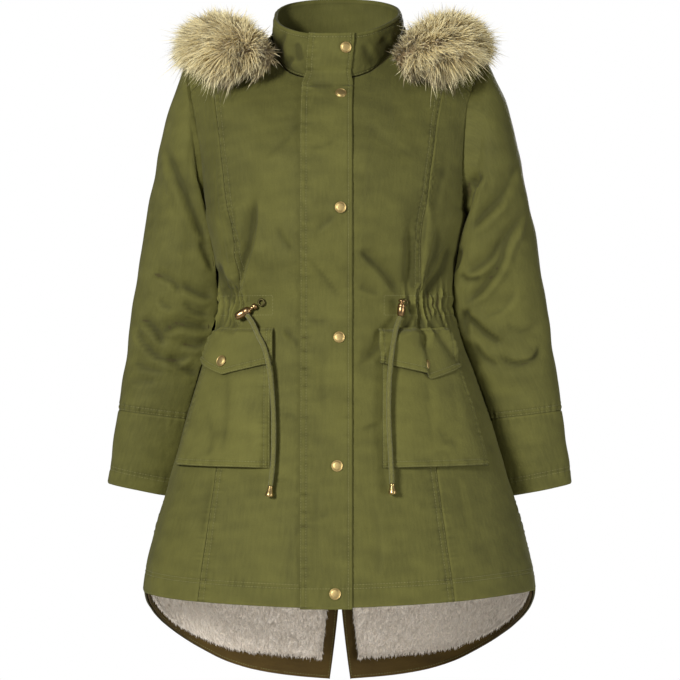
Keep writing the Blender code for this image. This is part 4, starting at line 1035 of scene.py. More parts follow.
@dataclass
class Cloth:
    """One face of a cloth piece as a grid of points, row by row from its bottom edge.

    A grid that goes around is closed from its last column to its first.
    """

    points: Array
    normals: Array
    around: bool = False
    seams: tuple[Edge, ...] = ()
    rows: tuple[tuple[Edge, float], ...] = ()
    pucker: float = 0.00055
    # tone: painted shade below zero and painted highlight above it, in the cloth's colour
    tone: Array | float = 0.0
    along: Array = field(init=False)
    up: Array = field(init=False)

    EDGE_ROUND, EDGE_REACH = 0.0011, 0.0016
    ROW_GROOVE, ROW_HALF = 0.0007, 0.0014
    PUCKER_MEAN, PUCKER_SWING = 0.55, 0.45
    # how far inside the edge, how far to each side, how strong
    SEAM_PULL = (0.005, 0.009, 1.0)
    ROW_PULL = (0.0085, 0.7)

    def __post_init__(self) -> None:
        """Measures the grid, lets its edges, seams and stitched lines sink in, and paints shade into the
        rows' grooves and shade and highlight of small wrinkles into its tone.
        """
        ring = np.concatenate([self.points, self.points[:, :1]], axis=1) if self.around else self.points
        lengths = arc_lengths(ring, 1)
        self.width = lengths[:, -1:]
        self.along = lengths[:, : self.points.shape[1]]
        self.up = arc_lengths(self.points, 0)
        self.height = self.up[-1:]
        depth = np.zeros(self.points.shape[:2])
        for edge in Edge:
            if self.around and edge in UPRIGHT:
                continue
            distance = self.distance(edge)
            depth += self.EDGE_ROUND * bump(distance, self.EDGE_REACH)
            if edge in self.seams:
                depth += self.pulled(edge, *self.SEAM_PULL)
        for edge, metres in self.rows:
            groove = bump(self.distance(edge) - metres, self.ROW_HALF)
            depth += self.ROW_GROOVE * groove
            # painted shade in the stitched row's groove
            self.tone = self.tone - ROW_PAINTED_SHADE * groove
            depth += self.pulled(edge, metres, *self.ROW_PULL)
        self.points = self.points - self.normals * depth[..., None]
        # painted shade and highlight of small wrinkles
        self.tone = self.tone + PAINTED_WRINKLES.at(self.points * LYING)

    def pulled(self, edge: Edge, metres: float, reach: float, share: float) -> Array:
        """The puckers that a seam pulls together beside it, with painted shade in their hollows and painted
        highlight on their crests.

        Args:
            edge: the edge that the seam follows.
            metres: how far inside it the seam lies.
            reach: how far the puckers reach to each side.
            share: how strong they are.

        Returns:
            Depths in metres.
        """
        run = self.up if edge in UPRIGHT else self.along
        wave = np.sin(run * 640 + 2.2 * np.sin(run * 91)) + 0.6 * np.sin(run * 1010 + 1.3)
        strength = self.PUCKER_MEAN + self.PUCKER_SWING * np.sin(run * 37 + metres * 900)
        near = share * strength * wave * bump(self.distance(edge) - metres, reach)
        # painted shade and highlight of the puckers
        self.tone = self.tone - PUCKER_PAINTED_TONE * near
        return self.pucker * near

    def distance(self, edge: Edge) -> Array:
        """Distances along the cloth from one edge.

        Args:
            edge: the edge.

        Returns:
            Distances in metres.
        """
        found = {FIRST: self.along, LAST: self.width - self.along, BOTTOM: self.up,
                 TOP: self.height - self.up}
        return found[edge]

    def nearest_edge(self) -> Array:
        """Distances from the nearest edge."""
        edges = ENDS if self.around else tuple(Edge)
        return np.minimum.reduce([np.broadcast_to(self.distance(edge), self.along.shape) for edge in edges])

    def beside(self, edge: Edge, metres: float) -> Pair:
        """The line a distance inside one edge.

        Args:
            edge: which edge.
            metres: how far inside it.

        Returns:
            Points and normals along the line.
        """
        distance = np.broadcast_to(self.distance(edge), self.along.shape)
        values = np.concatenate([self.points, self.normals], axis=-1)
        if edge in ENDS:
            distance, values = distance.T, values.transpose(1, 0, 2)
        if edge in (LAST, TOP):
            distance, values = distance[:, ::-1], values[:, ::-1]
        i = np.clip((distance < metres).sum(axis=1) - 1, 0, distance.shape[1] - 2)
        row = np.arange(len(distance))
        low, high = distance[row, i], distance[row, i + 1]
        share = np.clip((metres - low) / np.maximum(high - low, 1e-9), 0, 1)[:, None]
        line = values[row, i] * (1 - share) + values[row, i + 1] * share
        if self.around:
            line = np.concatenate([line, line[:1]])
        return line[:, :3], line[:, 3:]


def link(name: str, mesh: Mesh, materials: list[Material]) -> Object:
    """Makes an object of a mesh in the scene.

    Args:
        name: the piece's name.
        mesh: its mesh.
        materials: its materials in the order of their indices.

    Returns:
        The new object.
    """
    for material in materials:
        mesh.materials.append(material)
    made = bpy.data.objects.new(name, mesh)
    bpy.context.scene.collection.objects.link(made)
    return made


def finish_piece(made: Object, slot: str, *nodes: str) -> Object:
    """Rides a piece on the body, hides the CAD nodes that it stands for and logs its faces.

    Args:
        made: the piece.
        slot: its finish; not used.
        nodes: the CAD nodes.

    Returns:
        The piece itself.
    """
    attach(made, BODY_NAME)
    if nodes:
        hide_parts(*nodes)
    LOG.info("%s: %d faces", made.name, len(made.data.polygons) if made.type == "MESH" else 0)
    return made


def mesh_of(name: str, points: Array, faces: list | Array) -> Mesh:
    """A mesh of points and faces, all smooth.

    Args:
        name: its name.
        points: its points.
        faces: corner numbers of its faces.

    Returns:
        The mesh.
    """
    mesh = bpy.data.meshes.new(name)
    mesh.from_pydata(np.asarray(points).tolist(), [], [list(face) for face in faces])
    mesh.shade_smooth()
    return mesh


def faced_out(mesh: Mesh, weld: float = 0.0) -> Mesh:
    """A mesh with its close points joined and all of its faces turned outwards.

    Args:
        mesh: the mesh, which is changed.
        weld: how close joined points are.

    Returns:
        The same mesh.
    """
    bm = bmesh.new()
    bm.from_mesh(mesh)
    if weld:
        bmesh.ops.remove_doubles(bm, verts=bm.verts, dist=weld)
    bmesh.ops.recalc_face_normals(bm, faces=bm.faces)
    bm.to_mesh(mesh)
    bm.free()
    mesh.shade_smooth()
    return mesh


def grid_quads(rows: int, columns: int, around: bool) -> Array:
    """Corner numbers of the faces of a grid of points.

    Args:
        rows: its rows.
        columns: its columns.
        around: whether it is closed.

    Returns:
        Four numbers a face.
    """
    j, i = np.meshgrid(np.arange(rows - 1), np.arange(columns if around else columns - 1), indexing="ij")
    k = (i + 1) % columns
    low, high = j * columns, (j + 1) * columns
    return np.stack([low + i, low + k, high + k, high + i], -1).reshape(-1, 4)


def every_other(count: int, closed: bool) -> Array:
    """Every other number below a count, and the last one unless the line is closed."""
    chosen = np.arange(0, count, 2)
    return chosen if closed else np.union1d(chosen, [count - 1])


def rim_faces(rows: int, columns: int, around: bool, inner: Array) -> list[list[int]]:
    """Faces between the edges of a grid and those of its inner face, which has fewer points.

    Args:
        rows: the grid's rows.
        columns: the grid's columns.
        around: whether it is closed.
        inner: the inner face's point behind each outer point, or 0 where there is none.

    Returns:
        Corner numbers.
    """
    bottom, top = np.arange(columns), (rows - 1) * columns + np.arange(columns)
    lines = [np.append(bottom, 0), np.append(top, top[0])[::-1]] if around else []
    if not around:
        side = np.arange(rows) * columns
        lines = [bottom, side + columns - 1, top[::-1], side[::-1]]
    faces = []
    for line in lines:
        met = np.flatnonzero(inner[line] > 0)
        faces += [[*line[a : b + 1][::-1], inner[line[a]], inner[line[b]]] for a, b in zip(met, met[1:])]
    return faces


def cloth_mesh(name: str, cloth: Cloth, thick: float) -> Mesh:
    """A thin closed shell on a cloth grid, with distances along the cloth as its UV.

    Args:
        name: the mesh's name.
        cloth: the outer face.
        thick: the cloth's thickness.

    Returns:
        A mesh whose outer face has material 0 and whose rim and inner face have material 1.
    """
    rows, columns = cloth.points.shape[:2]
    count = rows * columns
    j, i = every_other(rows, False), every_other(columns, cloth.around)
    picked = (j[:, None] * columns + i[None, :]).ravel()
    inner = np.zeros(count, dtype=np.int32)
    inner[picked] = count + np.arange(len(picked))
    every = np.concatenate([np.arange(count), picked])
    points = cloth.points.reshape(-1, 3)
    within = (cloth.points - cloth.normals * thick).reshape(-1, 3)[picked]
    quads = grid_quads(rows, columns, cloth.around)
    corner = cloth.points[0, 0], cloth.points[0, 1], cloth.points[1, 0]
    facing = np.cross(corner[1] - corner[0], corner[2] - corner[0]) @ cloth.normals[0, 0]
    back = grid_quads(len(j), len(i), cloth.around)[:, ::-1] + count
    faces = [*quads.tolist(), *back.tolist(), *rim_faces(rows, columns, cloth.around, inner)]
    if facing < 0:
        faces = [face[::-1] for face in faces]
    mesh = mesh_of(name, np.concatenate([points, within]), faces)
    middle = cloth.along[:, cloth.along.shape[1] // 2][:, None]
    flat = np.stack([cloth.along - middle, cloth.up], axis=-1).reshape(-1, 2)
    layer = mesh.uv_layers.new(name="cloth")
    loops = np.zeros(len(mesh.loops), dtype=np.int32)
    mesh.loops.foreach_get("vertex_index", loops)
    layer.data.foreach_set("uv", flat[every[loops]].astype(np.float32).ravel())
    # the tone attribute carries the painted shade and highlight
    for word, values in (("edge", cloth.nearest_edge()), ("tone", cloth.tone)):
        layer = mesh.attributes.new(word, "FLOAT", "POINT")
        spread_out = np.broadcast_to(values, (rows, columns)).ravel().astype(np.float32)
        layer.data.foreach_set("value", spread_out[every])
    slots = np.zeros(len(faces), dtype=np.int32)
    slots[len(quads):] = 1
    mesh.polygons.foreach_set("material_index", slots)
    mesh.set_sharp_from_angle(angle=SHARP_ANGLE)
    return mesh


@dataclass(frozen=True)
class Cut:
    """How a piece was cut: the width and length that it is laid out in, and how it is held."""

    width: float
    length: float
    held: str = "stretched"
    rests_on: tuple[str, ...] = ("yoke_left", "yoke_right")


def shell_piece(node: str, cloth: Cloth, dressing: "Dressing", thick: float = WALL,
                inside: str = "inside") -> None:
    """Makes the shell's cloth of a node and stitches its rows.

    Args:
        node: the CAD node.
        cloth: the cloth's outer face.
        dressing: the finishes and the stitching.
        thick: the cloth's thickness.
        inside: the finish of its inner face.
    """
    materials = [dressing.finishes.shell, getattr(dressing.finishes, inside)]
    made = link(f"{node}_cloth", cloth_mesh(node, cloth, thick), materials)
    finish_piece(made, "shell", node)
    dressing.threads.follow_rows(cloth)


# ---- finishes ----
class Recipe:
    """Builds one material out of nodes."""

    def __init__(self, name: str) -> None:
        """Starts with the plain surface shader.

        Args:
            name: the material's name.
        """
        self.material = bpy.data.materials.new(name)
        self.material.use_nodes = True
        self.tree = self.material.node_tree
        self.shader = self.tree.nodes["Principled BSDF"]

    def add(self, kind: str, inputs: dict, output: str | int = 0, **settings) -> NodeSocket:
        """Adds a node.

        Args:
            kind: the node's type after "ShaderNode".
            inputs: its inputs by name or number, each a socket or a value.
            output: which output to return.
            settings: the node's own settings.

        Returns:
            The output socket.
        """
        node = self.tree.nodes.new(f"ShaderNode{kind}")
        for key, value in settings.items():
            setattr(node, key, value)
        self.feed(node, inputs)
        return node.outputs[output]

    def feed(self, node: bpy.types.Node, inputs: dict) -> None:
        """Joins or sets a node's inputs.

        Args:
            node: the node.
            inputs: sockets or values by input.
        """
        for key, value in inputs.items():
            if isinstance(value, NodeSocket):
                self.tree.links.new(value, node.inputs[key])
            else:
                node.inputs[key].default_value = value

    def noise(self, place: NodeSocket, scale: float, detail: float = 3.0) -> NodeSocket:
        """Soft noise around 0.5."""
        return self.add("TexNoise", {"Vector": place, "Scale": scale, "Detail": detail, "Roughness": 0.55})

    def ranged(self, value: NodeSocket, low: float, high: float, to_low: float,
               to_high: float) -> NodeSocket:
        """A value moved from one range into another."""
        return self.add("MapRange", {"Value": value, "From Min": low, "From Max": high, "To Min": to_low,
                                     "To Max": to_high})

    def mixed(self, factor: NodeSocket, a: object, b: object, blend: str = "MIX") -> NodeSocket:
        """A colour between two others, or one laid over the other."""
        return self.add("Mix", {"Factor": factor, 6: a, 7: b}, 2, data_type="RGBA", blend_type=blend)

    def mottled(self, mask: NodeSocket, window: tuple[float, float], colour: Colour,
                scales: tuple[float, float]) -> NodeSocket:
        """A colour that is darker and lighter where a mask is low and high.

        Args:
            mask: the mask.
            window: its low and high value.
            colour: the colour.
            scales: how much darker and lighter it gets.

        Returns:
            The colour's socket.
        """
        return self.mixed(self.ranged(mask, *window, 0.0, 1.0), *(rgba(colour, scale) for scale in scales))

    def read(self, attribute: str, output: str = "Fac") -> NodeSocket:
        """An attribute of the mesh."""
        return self.add("Attribute", {}, output, attribute_name=attribute)

    def bumped(self, height: NodeSocket, distance: float,
               under: NodeSocket | None = None) -> NodeSocket:
        """A bumped normal over another one.

        Args:
            height: the height's socket.
            distance: its reach in metres.
            under: the normal under it.

        Returns:
            The normal's socket.
        """
        inputs = {"Height": height, "Distance": distance, "Strength": 1.0}
        if under is not None:
            inputs["Normal"] = under
        return self.add("Bump", inputs)


def rgba(colour: Colour, scale: float = 1.0) -> tuple[float, float, float, float]:
    """A colour for a socket, made lighter or darker."""
    return (*(channel * scale for channel in colour), 1.0)


@dataclass(frozen=True)
class Finish:
    """A material made of nodes."""

    name: str

    def build(self) -> Material:
        """The material.

        Returns:
            The new material.
        """
        made = Recipe(self.name)
        made.feed(made.shader, self.inputs(made, made.add("TexCoord", {}, "Object")))
        return made.material

    def inputs(self, made: Recipe, solid: NodeSocket) -> dict:
        """The surface shader's inputs, from a recipe and the places in the piece."""
        raise NotImplementedError


@dataclass(frozen=True)
class TwillFinish(Finish):
    """A cotton twill: its colour, weave, crumple and sheen."""

    colour: Colour
    pitch: float = 0.00075
    weave: float = 0.00010
    crumple: float = 0.0016
    roughness: float = 0.74
    sheen: float = 0.05
    # how far the painted shade and highlight of the mesh's tone go into the colour
    painted_tone_mix: float = 0.62
    has_uv: bool = True

    def inputs(self, made: Recipe, solid: NodeSocket) -> dict:
        """A diagonal weave with slubs and streaks, worn at its edges, with the painted shade and highlight of
        the mesh's tone and painted shade along its cut edges.

        Args:
            made: the recipe.
            solid: places in the piece.

        Returns:
            The shader's inputs.
        """
        flat = made.add("UVMap", {}, uv_map="cloth") if self.has_uv else solid
        diagonal = made.add("TexWave", {"Vector": flat, "Scale": 0.444 / self.pitch, "Distortion": 0.8,
                                        "Detail": 1.0, "Detail Scale": 1.5}, 1,
                            wave_type="BANDS", bands_direction="DIAGONAL")
        slub = made.noise(flat, 520.0, 2.0)
        cloud = made.noise(solid, 9.0, 4.0)
        streak = made.noise(made.add("Mapping", {"Vector": flat, "Scale": (1.0, 0.16, 1.0)}), 260.0, 2.0)
        tone = made.mottled(cloud, (0.3, 0.7), self.colour, (0.84, 1.16))
        layers = [(streak, (0.35, 0.65, 0.0, 0.34), 1.30), (diagonal, (0.0, 1.0, 0.16, 0.0), 0.45),
                  (slub, (0.35, 0.65, 0.0, 0.14), 0.60)]
        if self.has_uv:
            # deep reads the mesh's tone: painted shade where it is below zero, painted highlight where it is
            # above
            edge, deep = made.read("edge"), made.read("tone")
            layers += [(deep, (0.0, -1.0, 0.0, self.painted_tone_mix), 0.30),
                       (deep, (0.0, 1.0, 0.0, self.painted_tone_mix), 1.60),
                       # painted shade in the seams, within a mm of the cut edges
                       (edge, (0.0, 0.0009, 0.55, 0.0), 0.38)]
        for mask, window, scale in layers:
            tone = made.mixed(made.ranged(mask, *window), tone, rgba(self.colour, scale))
        if self.has_uv:
            worn = made.ranged(edge, 0.0012, 0.0042, 0.30, 0.0)
            rub = made.add("Math", {0: worn, 1: made.noise(solid, 160.0, 2.0)}, operation="MULTIPLY")
            tone = made.mixed(rub, tone, rgba(self.colour, 1.7))
        normal = made.bumped(made.noise(solid, 58.0, 4.0), self.crumple)
        normal = made.bumped(made.noise(solid, 210.0, 3.0), self.crumple * 0.22, normal)
        normal = made.bumped(slub, self.weave * 0.8, normal)
        normal = made.bumped(diagonal, self.weave, normal)
        rough = made.ranged(cloud, 0.3, 0.7, self.roughness - 0.05, self.roughness + 0.06)
        return {"Base Color": tone, "Roughness": rough, "Normal": normal, "Sheen Weight": self.sheen,
                "Sheen Roughness": 0.45, "Specular IOR Level": 0.18}


@dataclass(frozen=True)
class HairFinish(Finish):
    """Hair or pile whose colours are in its mesh."""

    roughness: float = 0.55
    sheen: float = 0.30
    specular: float = 0.35

    def inputs(self, made: Recipe, solid: NodeSocket) -> dict:
        """The mesh's own colours, a little clouded.

        Args:
            made: the recipe.
            solid: places in the piece.

        Returns:
            The shader's inputs.
        """
        cloud = made.ranged(made.noise(solid, 70.0, 2.0), 0.3, 0.7, 0.0, 0.15)
        shade = made.mixed(cloud, made.read("tint", "Color"), (0.62, 0.55, 0.46, 1.0), "MULTIPLY")
        return {"Base Color": shade, "Roughness": self.roughness, "Sheen Weight": self.sheen,
                "Sheen Roughness": 0.4, "Specular IOR Level": self.specular}


@dataclass(frozen=True)
class SkinFinish(Finish):
    """A dull ground under hair or pile."""

    colour: Colour
    scale: float = 240.0

    def inputs(self, made: Recipe, solid: NodeSocket) -> dict:
        """A soft fuzz.

        Args:
            made: the recipe.
            solid: places in the piece.

        Returns:
            The shader's inputs.
        """
        fuzz = made.noise(solid, self.scale, 4.0)
        tone = made.mottled(fuzz, (0.35, 0.65), self.colour, (0.75, 1.25))
        return {"Base Color": tone, "Roughness": 0.95, "Sheen Weight": 0.3,
                "Normal": made.bumped(fuzz, 0.0020)}


@dataclass(frozen=True)
class MetalFinish(Finish):
    """Antique gold, darker and duller in patches."""

    colour: Colour
    roughness: float

    def inputs(self, made: Recipe, solid: NodeSocket) -> dict:
        """Polished metal with tarnish on it.

        Args:
            made: the recipe.
            solid: places in the piece.

        Returns:
            The shader's inputs.
        """
        tarnish = made.noise(solid, 420.0, 4.0)
        patch = made.ranged(tarnish, 0.42, 0.72, 0.0, 0.55)
        tone = made.mixed(patch, rgba(self.colour), rgba(self.colour, 0.45))
        rough = made.ranged(tarnish, 0.3, 0.7, self.roughness, self.roughness + 0.14)
        return {"Base Color": tone, "Roughness": rough, "Metallic": 1.0,
                "Normal": made.bumped(made.noise(solid, 2600.0, 2.0), 0.00004)}


@dataclass(frozen=True)
class CordFinish(Finish):
    """A braided cord: flecked threads over the strands of its mesh."""

    colour: Colour

    def inputs(self, made: Recipe, solid: NodeSocket) -> dict:
        """Flecks of two tones under a cloud.

        Args:
            made: the recipe.
            solid: places in the piece.

        Returns:
            The shader's inputs.
        """
        fleck = made.noise(solid, 900.0, 2.0)
        cloud = made.ranged(made.noise(solid, 60.0, 2.0), 0.3, 0.7, 0.0, 0.3)
        tone = made.mottled(fleck, (0.35, 0.65), self.colour, (0.70, 1.35))
        tone = made.mixed(cloud, tone, rgba(self.colour, 0.7))
        return {"Base Color": tone, "Roughness": 0.80, "Sheen Weight": 0.25,
                "Normal": made.bumped(fleck, 0.00035)}


SHELL_COLOUR = (0.116, 0.111, 0.0265)


class Finishes:
    """All the materials of the parka."""

    def __init__(self) -> None:
        """Makes them all."""
        # the facing's colour is darker and browner than the shell: painted shade of the garment's inside
        inside, facing = (0.075, 0.064, 0.018), (0.092, 0.056, 0.012)
        self.shell = TwillFinish("shell twill", SHELL_COLOUR).build()
        self.draped = TwillFinish("hood twill", SHELL_COLOUR, has_uv=False).build()
        self.inside = TwillFinish("twill wrong side", inside, sheen=0.02).build()
        self.facing = TwillFinish("facing twill", facing, sheen=0.02).build()
        self.thread = CordFinish("thread", (0.190, 0.180, 0.055)).build()
        self.cord = CordFinish("cord braid", (0.128, 0.120, 0.022)).build()
        self.snap = MetalFinish("snap metal", (0.58, 0.43, 0.18), 0.44).build()
        self.bell = MetalFinish("bell metal", (0.60, 0.43, 0.18), 0.26).build()
        self.eyelet = MetalFinish("eyelet metal", (0.105, 0.090, 0.035), 0.42).build()
        self.lock = MetalFinish("lock metal", (0.40, 0.25, 0.115), 0.24).build()
        self.fur = HairFinish("fur hair").build()
        self.fur_skin = SkinFinish("fur ground", (0.30, 0.21, 0.10)).build()
        self.fleece = HairFinish("fleece pile", roughness=0.9, sheen=0.4, specular=0.1).build()
        self.fleece_back = SkinFinish("fleece ground", (0.80, 0.72, 0.62), 420.0).build()


# ---- the studio ----
@dataclass(frozen=True)
class Studio:
    """The camera, the floor and the soft white light."""

    eye: tuple[float, float, float] = (0.0, -4.0, -0.426)
    aim: tuple[float, float, float] = (0.0, 0.0, -0.42)
    lens: float = 149.13
    sensor: float = 36.0
    floor_z: float = -1.60
    floor_radius: float = 2.6
    floor_corners: int = 64
    sky_strength: float = 0.12

    WHITE = (1.0, 1.0, 1.0, 1.0)
    # name, power, place, size
    LIGHTS = (
        ("key", 150.0, (-1.9, -3.3, 0.55), (0.7, 0.7)),
        ("side", 44.0, (2.7, -1.9, -0.5), (0.9, 1.6)),
        ("back", 110.0, (0.9, 3.6, 0.7), (1.4, 1.4)),
        ("low", 25.0, (0.0, -3.0, -1.2), (1.6, 0.6)),
    )

    def camera(self) -> None:
        """A long lens level with the middle of the garment."""
        data = bpy.data.cameras.new("camera")
        data.sensor_width = self.sensor
        data.lens = self.lens
        made = bpy.data.objects.new("camera", data)
        made.location = self.eye
        made.rotation_euler = (math.radians(90), 0, 0)
        bpy.context.scene.collection.objects.link(made)
        bpy.context.scene.camera = made

    def floor(self) -> None:
        """A pale disc well below the hem, which throws light up."""
        turn = circle(self.floor_corners)
        radius = self.floor_radius
        points = np.stack([radius * np.cos(turn), radius * np.sin(turn), np.zeros_like(turn)], -1)
        made = Recipe("floor")
        away = made.add("VectorMath", {0: made.add("TexCoord", {}, "Object")}, "Value", operation="LENGTH")
        fade = made.ranged(away, 0.3 * radius, 0.95 * radius, 1.0, 0.0)
        made.feed(made.shader, {"Base Color": (0.88, 0.88, 0.87, 1.0), "Roughness": 0.9, "Alpha": fade})
        disc = link("floor", mesh_of("floor", points, [range(self.floor_corners)]), [made.material])
        disc.location.z = self.floor_z

    def light(self, name: str, power: float, place: tuple[float, float, float],
              size: tuple[float, float]) -> Object:
        """A soft box that faces the garment's middle.

        Args:
            name: its name.
            power: in watts.
            place: where it stands.
            size: its width and height.

        Returns:
            The light.
        """
        data = bpy.data.lights.new(name, "AREA")
        data.shape = "RECTANGLE"
        data.energy = power
        data.size, data.size_y = size
        made = bpy.data.objects.new(name, data)
        made.location = place
        way = Vector(self.aim) - Vector(place)
        made.rotation_euler = way.to_track_quat("-Z", "Y").to_euler()
        bpy.context.scene.collection.objects.link(made)
        return made

    def sky(self) -> None:
        """A white surrounding, plain white behind the garment."""
        world = bpy.data.worlds.new("white")
        world.use_nodes = True
        bpy.context.scene.world = world
        nodes, links = world.node_tree.nodes, world.node_tree.links
        dim = nodes["Background"]
        dim.inputs["Color"].default_value = self.WHITE
        dim.inputs["Strength"].default_value = self.sky_strength
        seen = nodes.new("ShaderNodeBackground")
        seen.inputs["Color"].default_value = self.WHITE
        path, mix = nodes.new("ShaderNodeLightPath"), nodes.new("ShaderNodeMixShader")
        links.new(path.outputs["Is Camera Ray"], mix.inputs["Fac"])
        links.new(dim.outputs[0], mix.inputs[1])
        links.new(seen.outputs[0], mix.inputs[2])
        links.new(mix.outputs[0], nodes["World Output"].inputs["Surface"])
        bpy.context.scene.view_settings.view_transform = "Standard"

    def build(self) -> None:
        """Everything but the camera."""
        self.floor()
        self.sky()
        lights = [self.light(*row) for row in self.LIGHTS]
        lit = bpy.data.collections.new("lit from below")
        for piece in bpy.context.scene.objects:
            if piece.name.startswith("lining"):
                lit.objects.link(piece)
        lights[-1].light_linking.receiver_collection = lit


# ---- the body's panels ----
LEVELS = np.linspace(level_of(-0.95), UPPER_REACH, 600)
PRINCESS_ACROSS = BODY.across_princess(LEVELS)
HEM_ROWS = ((BOTTOM, 0.026), (BOTTOM, 0.031))


def princess(level: Array) -> Array:
    """Where a level passes the princess seam, read from the curve worked out once."""
    return np.interp(level, LEVELS, PRINCESS_ACROSS)


def inside(face: Face, level: Array, across: Array, gap: float = SEAM / 2) -> Array:
    """A seam's edge on the centre's side of an across value."""
    return across - BODY.share_of_width(face, level, gap, across)


def beyond(face: Face, level: Array, across: Array, gap: float | Array = SEAM / 2) -> Array:
    """A seam's edge on the far side of an across value."""
    return across + BODY.share_of_width(face, level, gap, across)


def centre_back(level: Array) -> Array:
    """The edge at the centre back and along the fishtail's split."""
    return beyond(BACK, level, np.zeros_like(level), split_half(Z_UNDERARM + level))


def body_points(face: Face, side: Side, across: Array, level: Array,
                out: float | Array = 0.0) -> Pair:
    """Points and normals of the body with its folds in it, moved out."""
    points, normals = BODY.surface(face, side, across, level)
    return points - normals * (body_depth(face, points) - out)[..., None], normals


@dataclass(frozen=True)
class Bounds:
    """A panel's edges: across values at a level at its sides, levels at an across value below and above."""

    inner: Callable[[Array], Array]
    outer: Callable[[Array], Array]
    bottom: Callable[[Array], Array]
    top: Callable[[Array], Array]

    def place(self, share: Array, rise: Array) -> Pair:
        """Across values and levels at shares of the panel's width and height.

        Args:
            share: shares of the width.
            rise: shares of the height.

        Returns:
            Across values, then levels.
        """
        share, rise = np.broadcast_arrays(share, rise)
        across = share.astype(float)
        for _ in range(4):
            low, high = self.bottom(across), self.top(across)
            level = low + (high - low) * rise
            first = self.inner(level)
            across = first + (self.outer(level) - first) * share
        return across, level

    def spread(self, face: Face, step: float, lines: tuple[float, ...]) -> Pair:
        """Across values and levels of a grid that is finer beside its edges.

        Args:
            face: the half of the body.
            step: the largest distance between points.
            lines: distances from the edges that get a line of their own.

        Returns:
            Across values, then levels.
        """
        middle, ends = np.array([0.5]), np.linspace(0, 1, 30)
        row = BODY.untwisted(face, *self.place(ends, middle))
        column = BODY.untwisted(face, *self.place(middle, ends))
        width = np.linalg.norm(np.diff(row, axis=0), axis=1).sum()
        height = np.linalg.norm(np.diff(column, axis=0), axis=1).sum()
        tall = HEM_LINES if lines is SEAM_LINES else lines
        return self.place(spread(width, step, lines)[None, :], spread(height, step, tall)[:, None])


@dataclass(frozen=True)
class Panel:
    """One cut panel of the body: its node, where it lies, its edges, stitched rows and cut."""

    node: str
    face: Face
    side: Side
    bounds: Bounds
    rows: tuple[tuple[Edge, float], ...]
    cut: Cut


CASING_TOP, CASING_LOW = Z_WAIST + CASING_HALF, Z_WAIST - CASING_HALF
CASING_ROWS = [
    (FRONT, ((-0.168, CASING_TOP), (-0.093, CASING_TOP), (-0.093, CASING_LOW), (-0.168, CASING_LOW))),
    (FRONT, ((-0.126, CASING_TOP), (-0.126, CASING_LOW))),
    (FRONT, ((0.160, CASING_TOP), (0.061, CASING_TOP), (0.061, CASING_LOW), (0.160, CASING_LOW))),
    (FRONT, ((0.084, CASING_TOP), (0.084, CASING_LOW))),
    (BACK, ((-0.166, CASING_TOP), (0.158, CASING_TOP))),
    (BACK, ((-0.166, CASING_LOW), (0.158, CASING_LOW))),
]


@dataclass(frozen=True)
class BodyPanels:
    """The fronts, side fronts and backs."""

    step: float = 0.0032
    back_step: float = 0.0046
    yoke_gap: float = 0.0005
    underarm_passes: int = 14
    underarm_half: float = 0.020

    def panels(self) -> list[Panel]:
        """The six panels of the body.

        Returns:
            The panels, side by side.
        """
        front_hem, back_hem = BODY.hem_z[FRONT], BODY.hem_z[BACK]
        edge = {face: lambda v, face=face: inside(face, v, np.ones_like(v)) for face in Face}
        front_low, front_high = lambda u: level_of(front_hem(u)), lambda u: NECK.front_top(u) - self.yoke_gap
        back_low, back_high = lambda u: level_of(back_hem(u)), lambda u: back_top(u) - self.yoke_gap
        bounds = {
            "front": Bounds(lambda v: beyond(FRONT, v, np.zeros_like(v)),
                            lambda v: inside(FRONT, v, princess(v)), front_low, front_high),
            "side_front": Bounds(lambda v: beyond(FRONT, v, princess(v)), edge[FRONT],
                                 front_low, front_high),
            "back": Bounds(centre_back, edge[BACK], back_low, back_high),
        }
        cuts = {"front": Cut(0.200, 0.820), "side_front": Cut(0.160, 0.740), "back": Cut(0.360, 0.860)}
        found = []
        for side in Side:
            for word, cut in cuts.items():
                face = BACK if word == "back" else FRONT
                rows = ((LAST, 0.0015), (LAST, 0.0085)) + HEM_ROWS if word == "front" else HEM_ROWS
                found.append(Panel(f"{word}_{side.word}", face, side, bounds[word], rows, cut))
        return found

    def mesh(self, panel: Panel) -> Cloth:
        """The cloth of one panel, its folds in it.

        Args:
            panel: the panel.

        Returns:
            The cloth.
        """
        step = self.step if panel.face is FRONT else self.back_step
        across, level = panel.bounds.spread(panel.face, step, SEAM_LINES)
        points, normals = body_points(panel.face, panel.side, across, level)
        for _ in range(self.underarm_passes):
            near = bump(points[1:-1, :, 2:] - Z_UNDERARM, self.underarm_half)
            points[1:-1] += near * (points[:-2] + points[2:] - 2 * points[1:-1]) / 4
        tone = body_tone(panel.face, points)
        return Cloth(points, normals, seams=(*UPRIGHT, TOP), rows=panel.rows, tone=tone)

    def dress(self, dressing: "Dressing") -> None:
        """Makes the panels with their stitching.

        Args:
            dressing: the finishes and the stitching.
        """
        points, faces = [], []
        for panel in self.panels():
            cloth = self.mesh(panel)
            faces += (grid_quads(*cloth.points.shape[:2], False) + len(points)).tolist()
            points += cloth.points.reshape(-1, 3).tolist()
            shell_piece(panel.node, cloth, dressing)
        tree = BVHTree.FromPolygons(points, faces)
        for face, corners in CASING_ROWS:
            dressing.threads.cross(tree, face.value, corners)


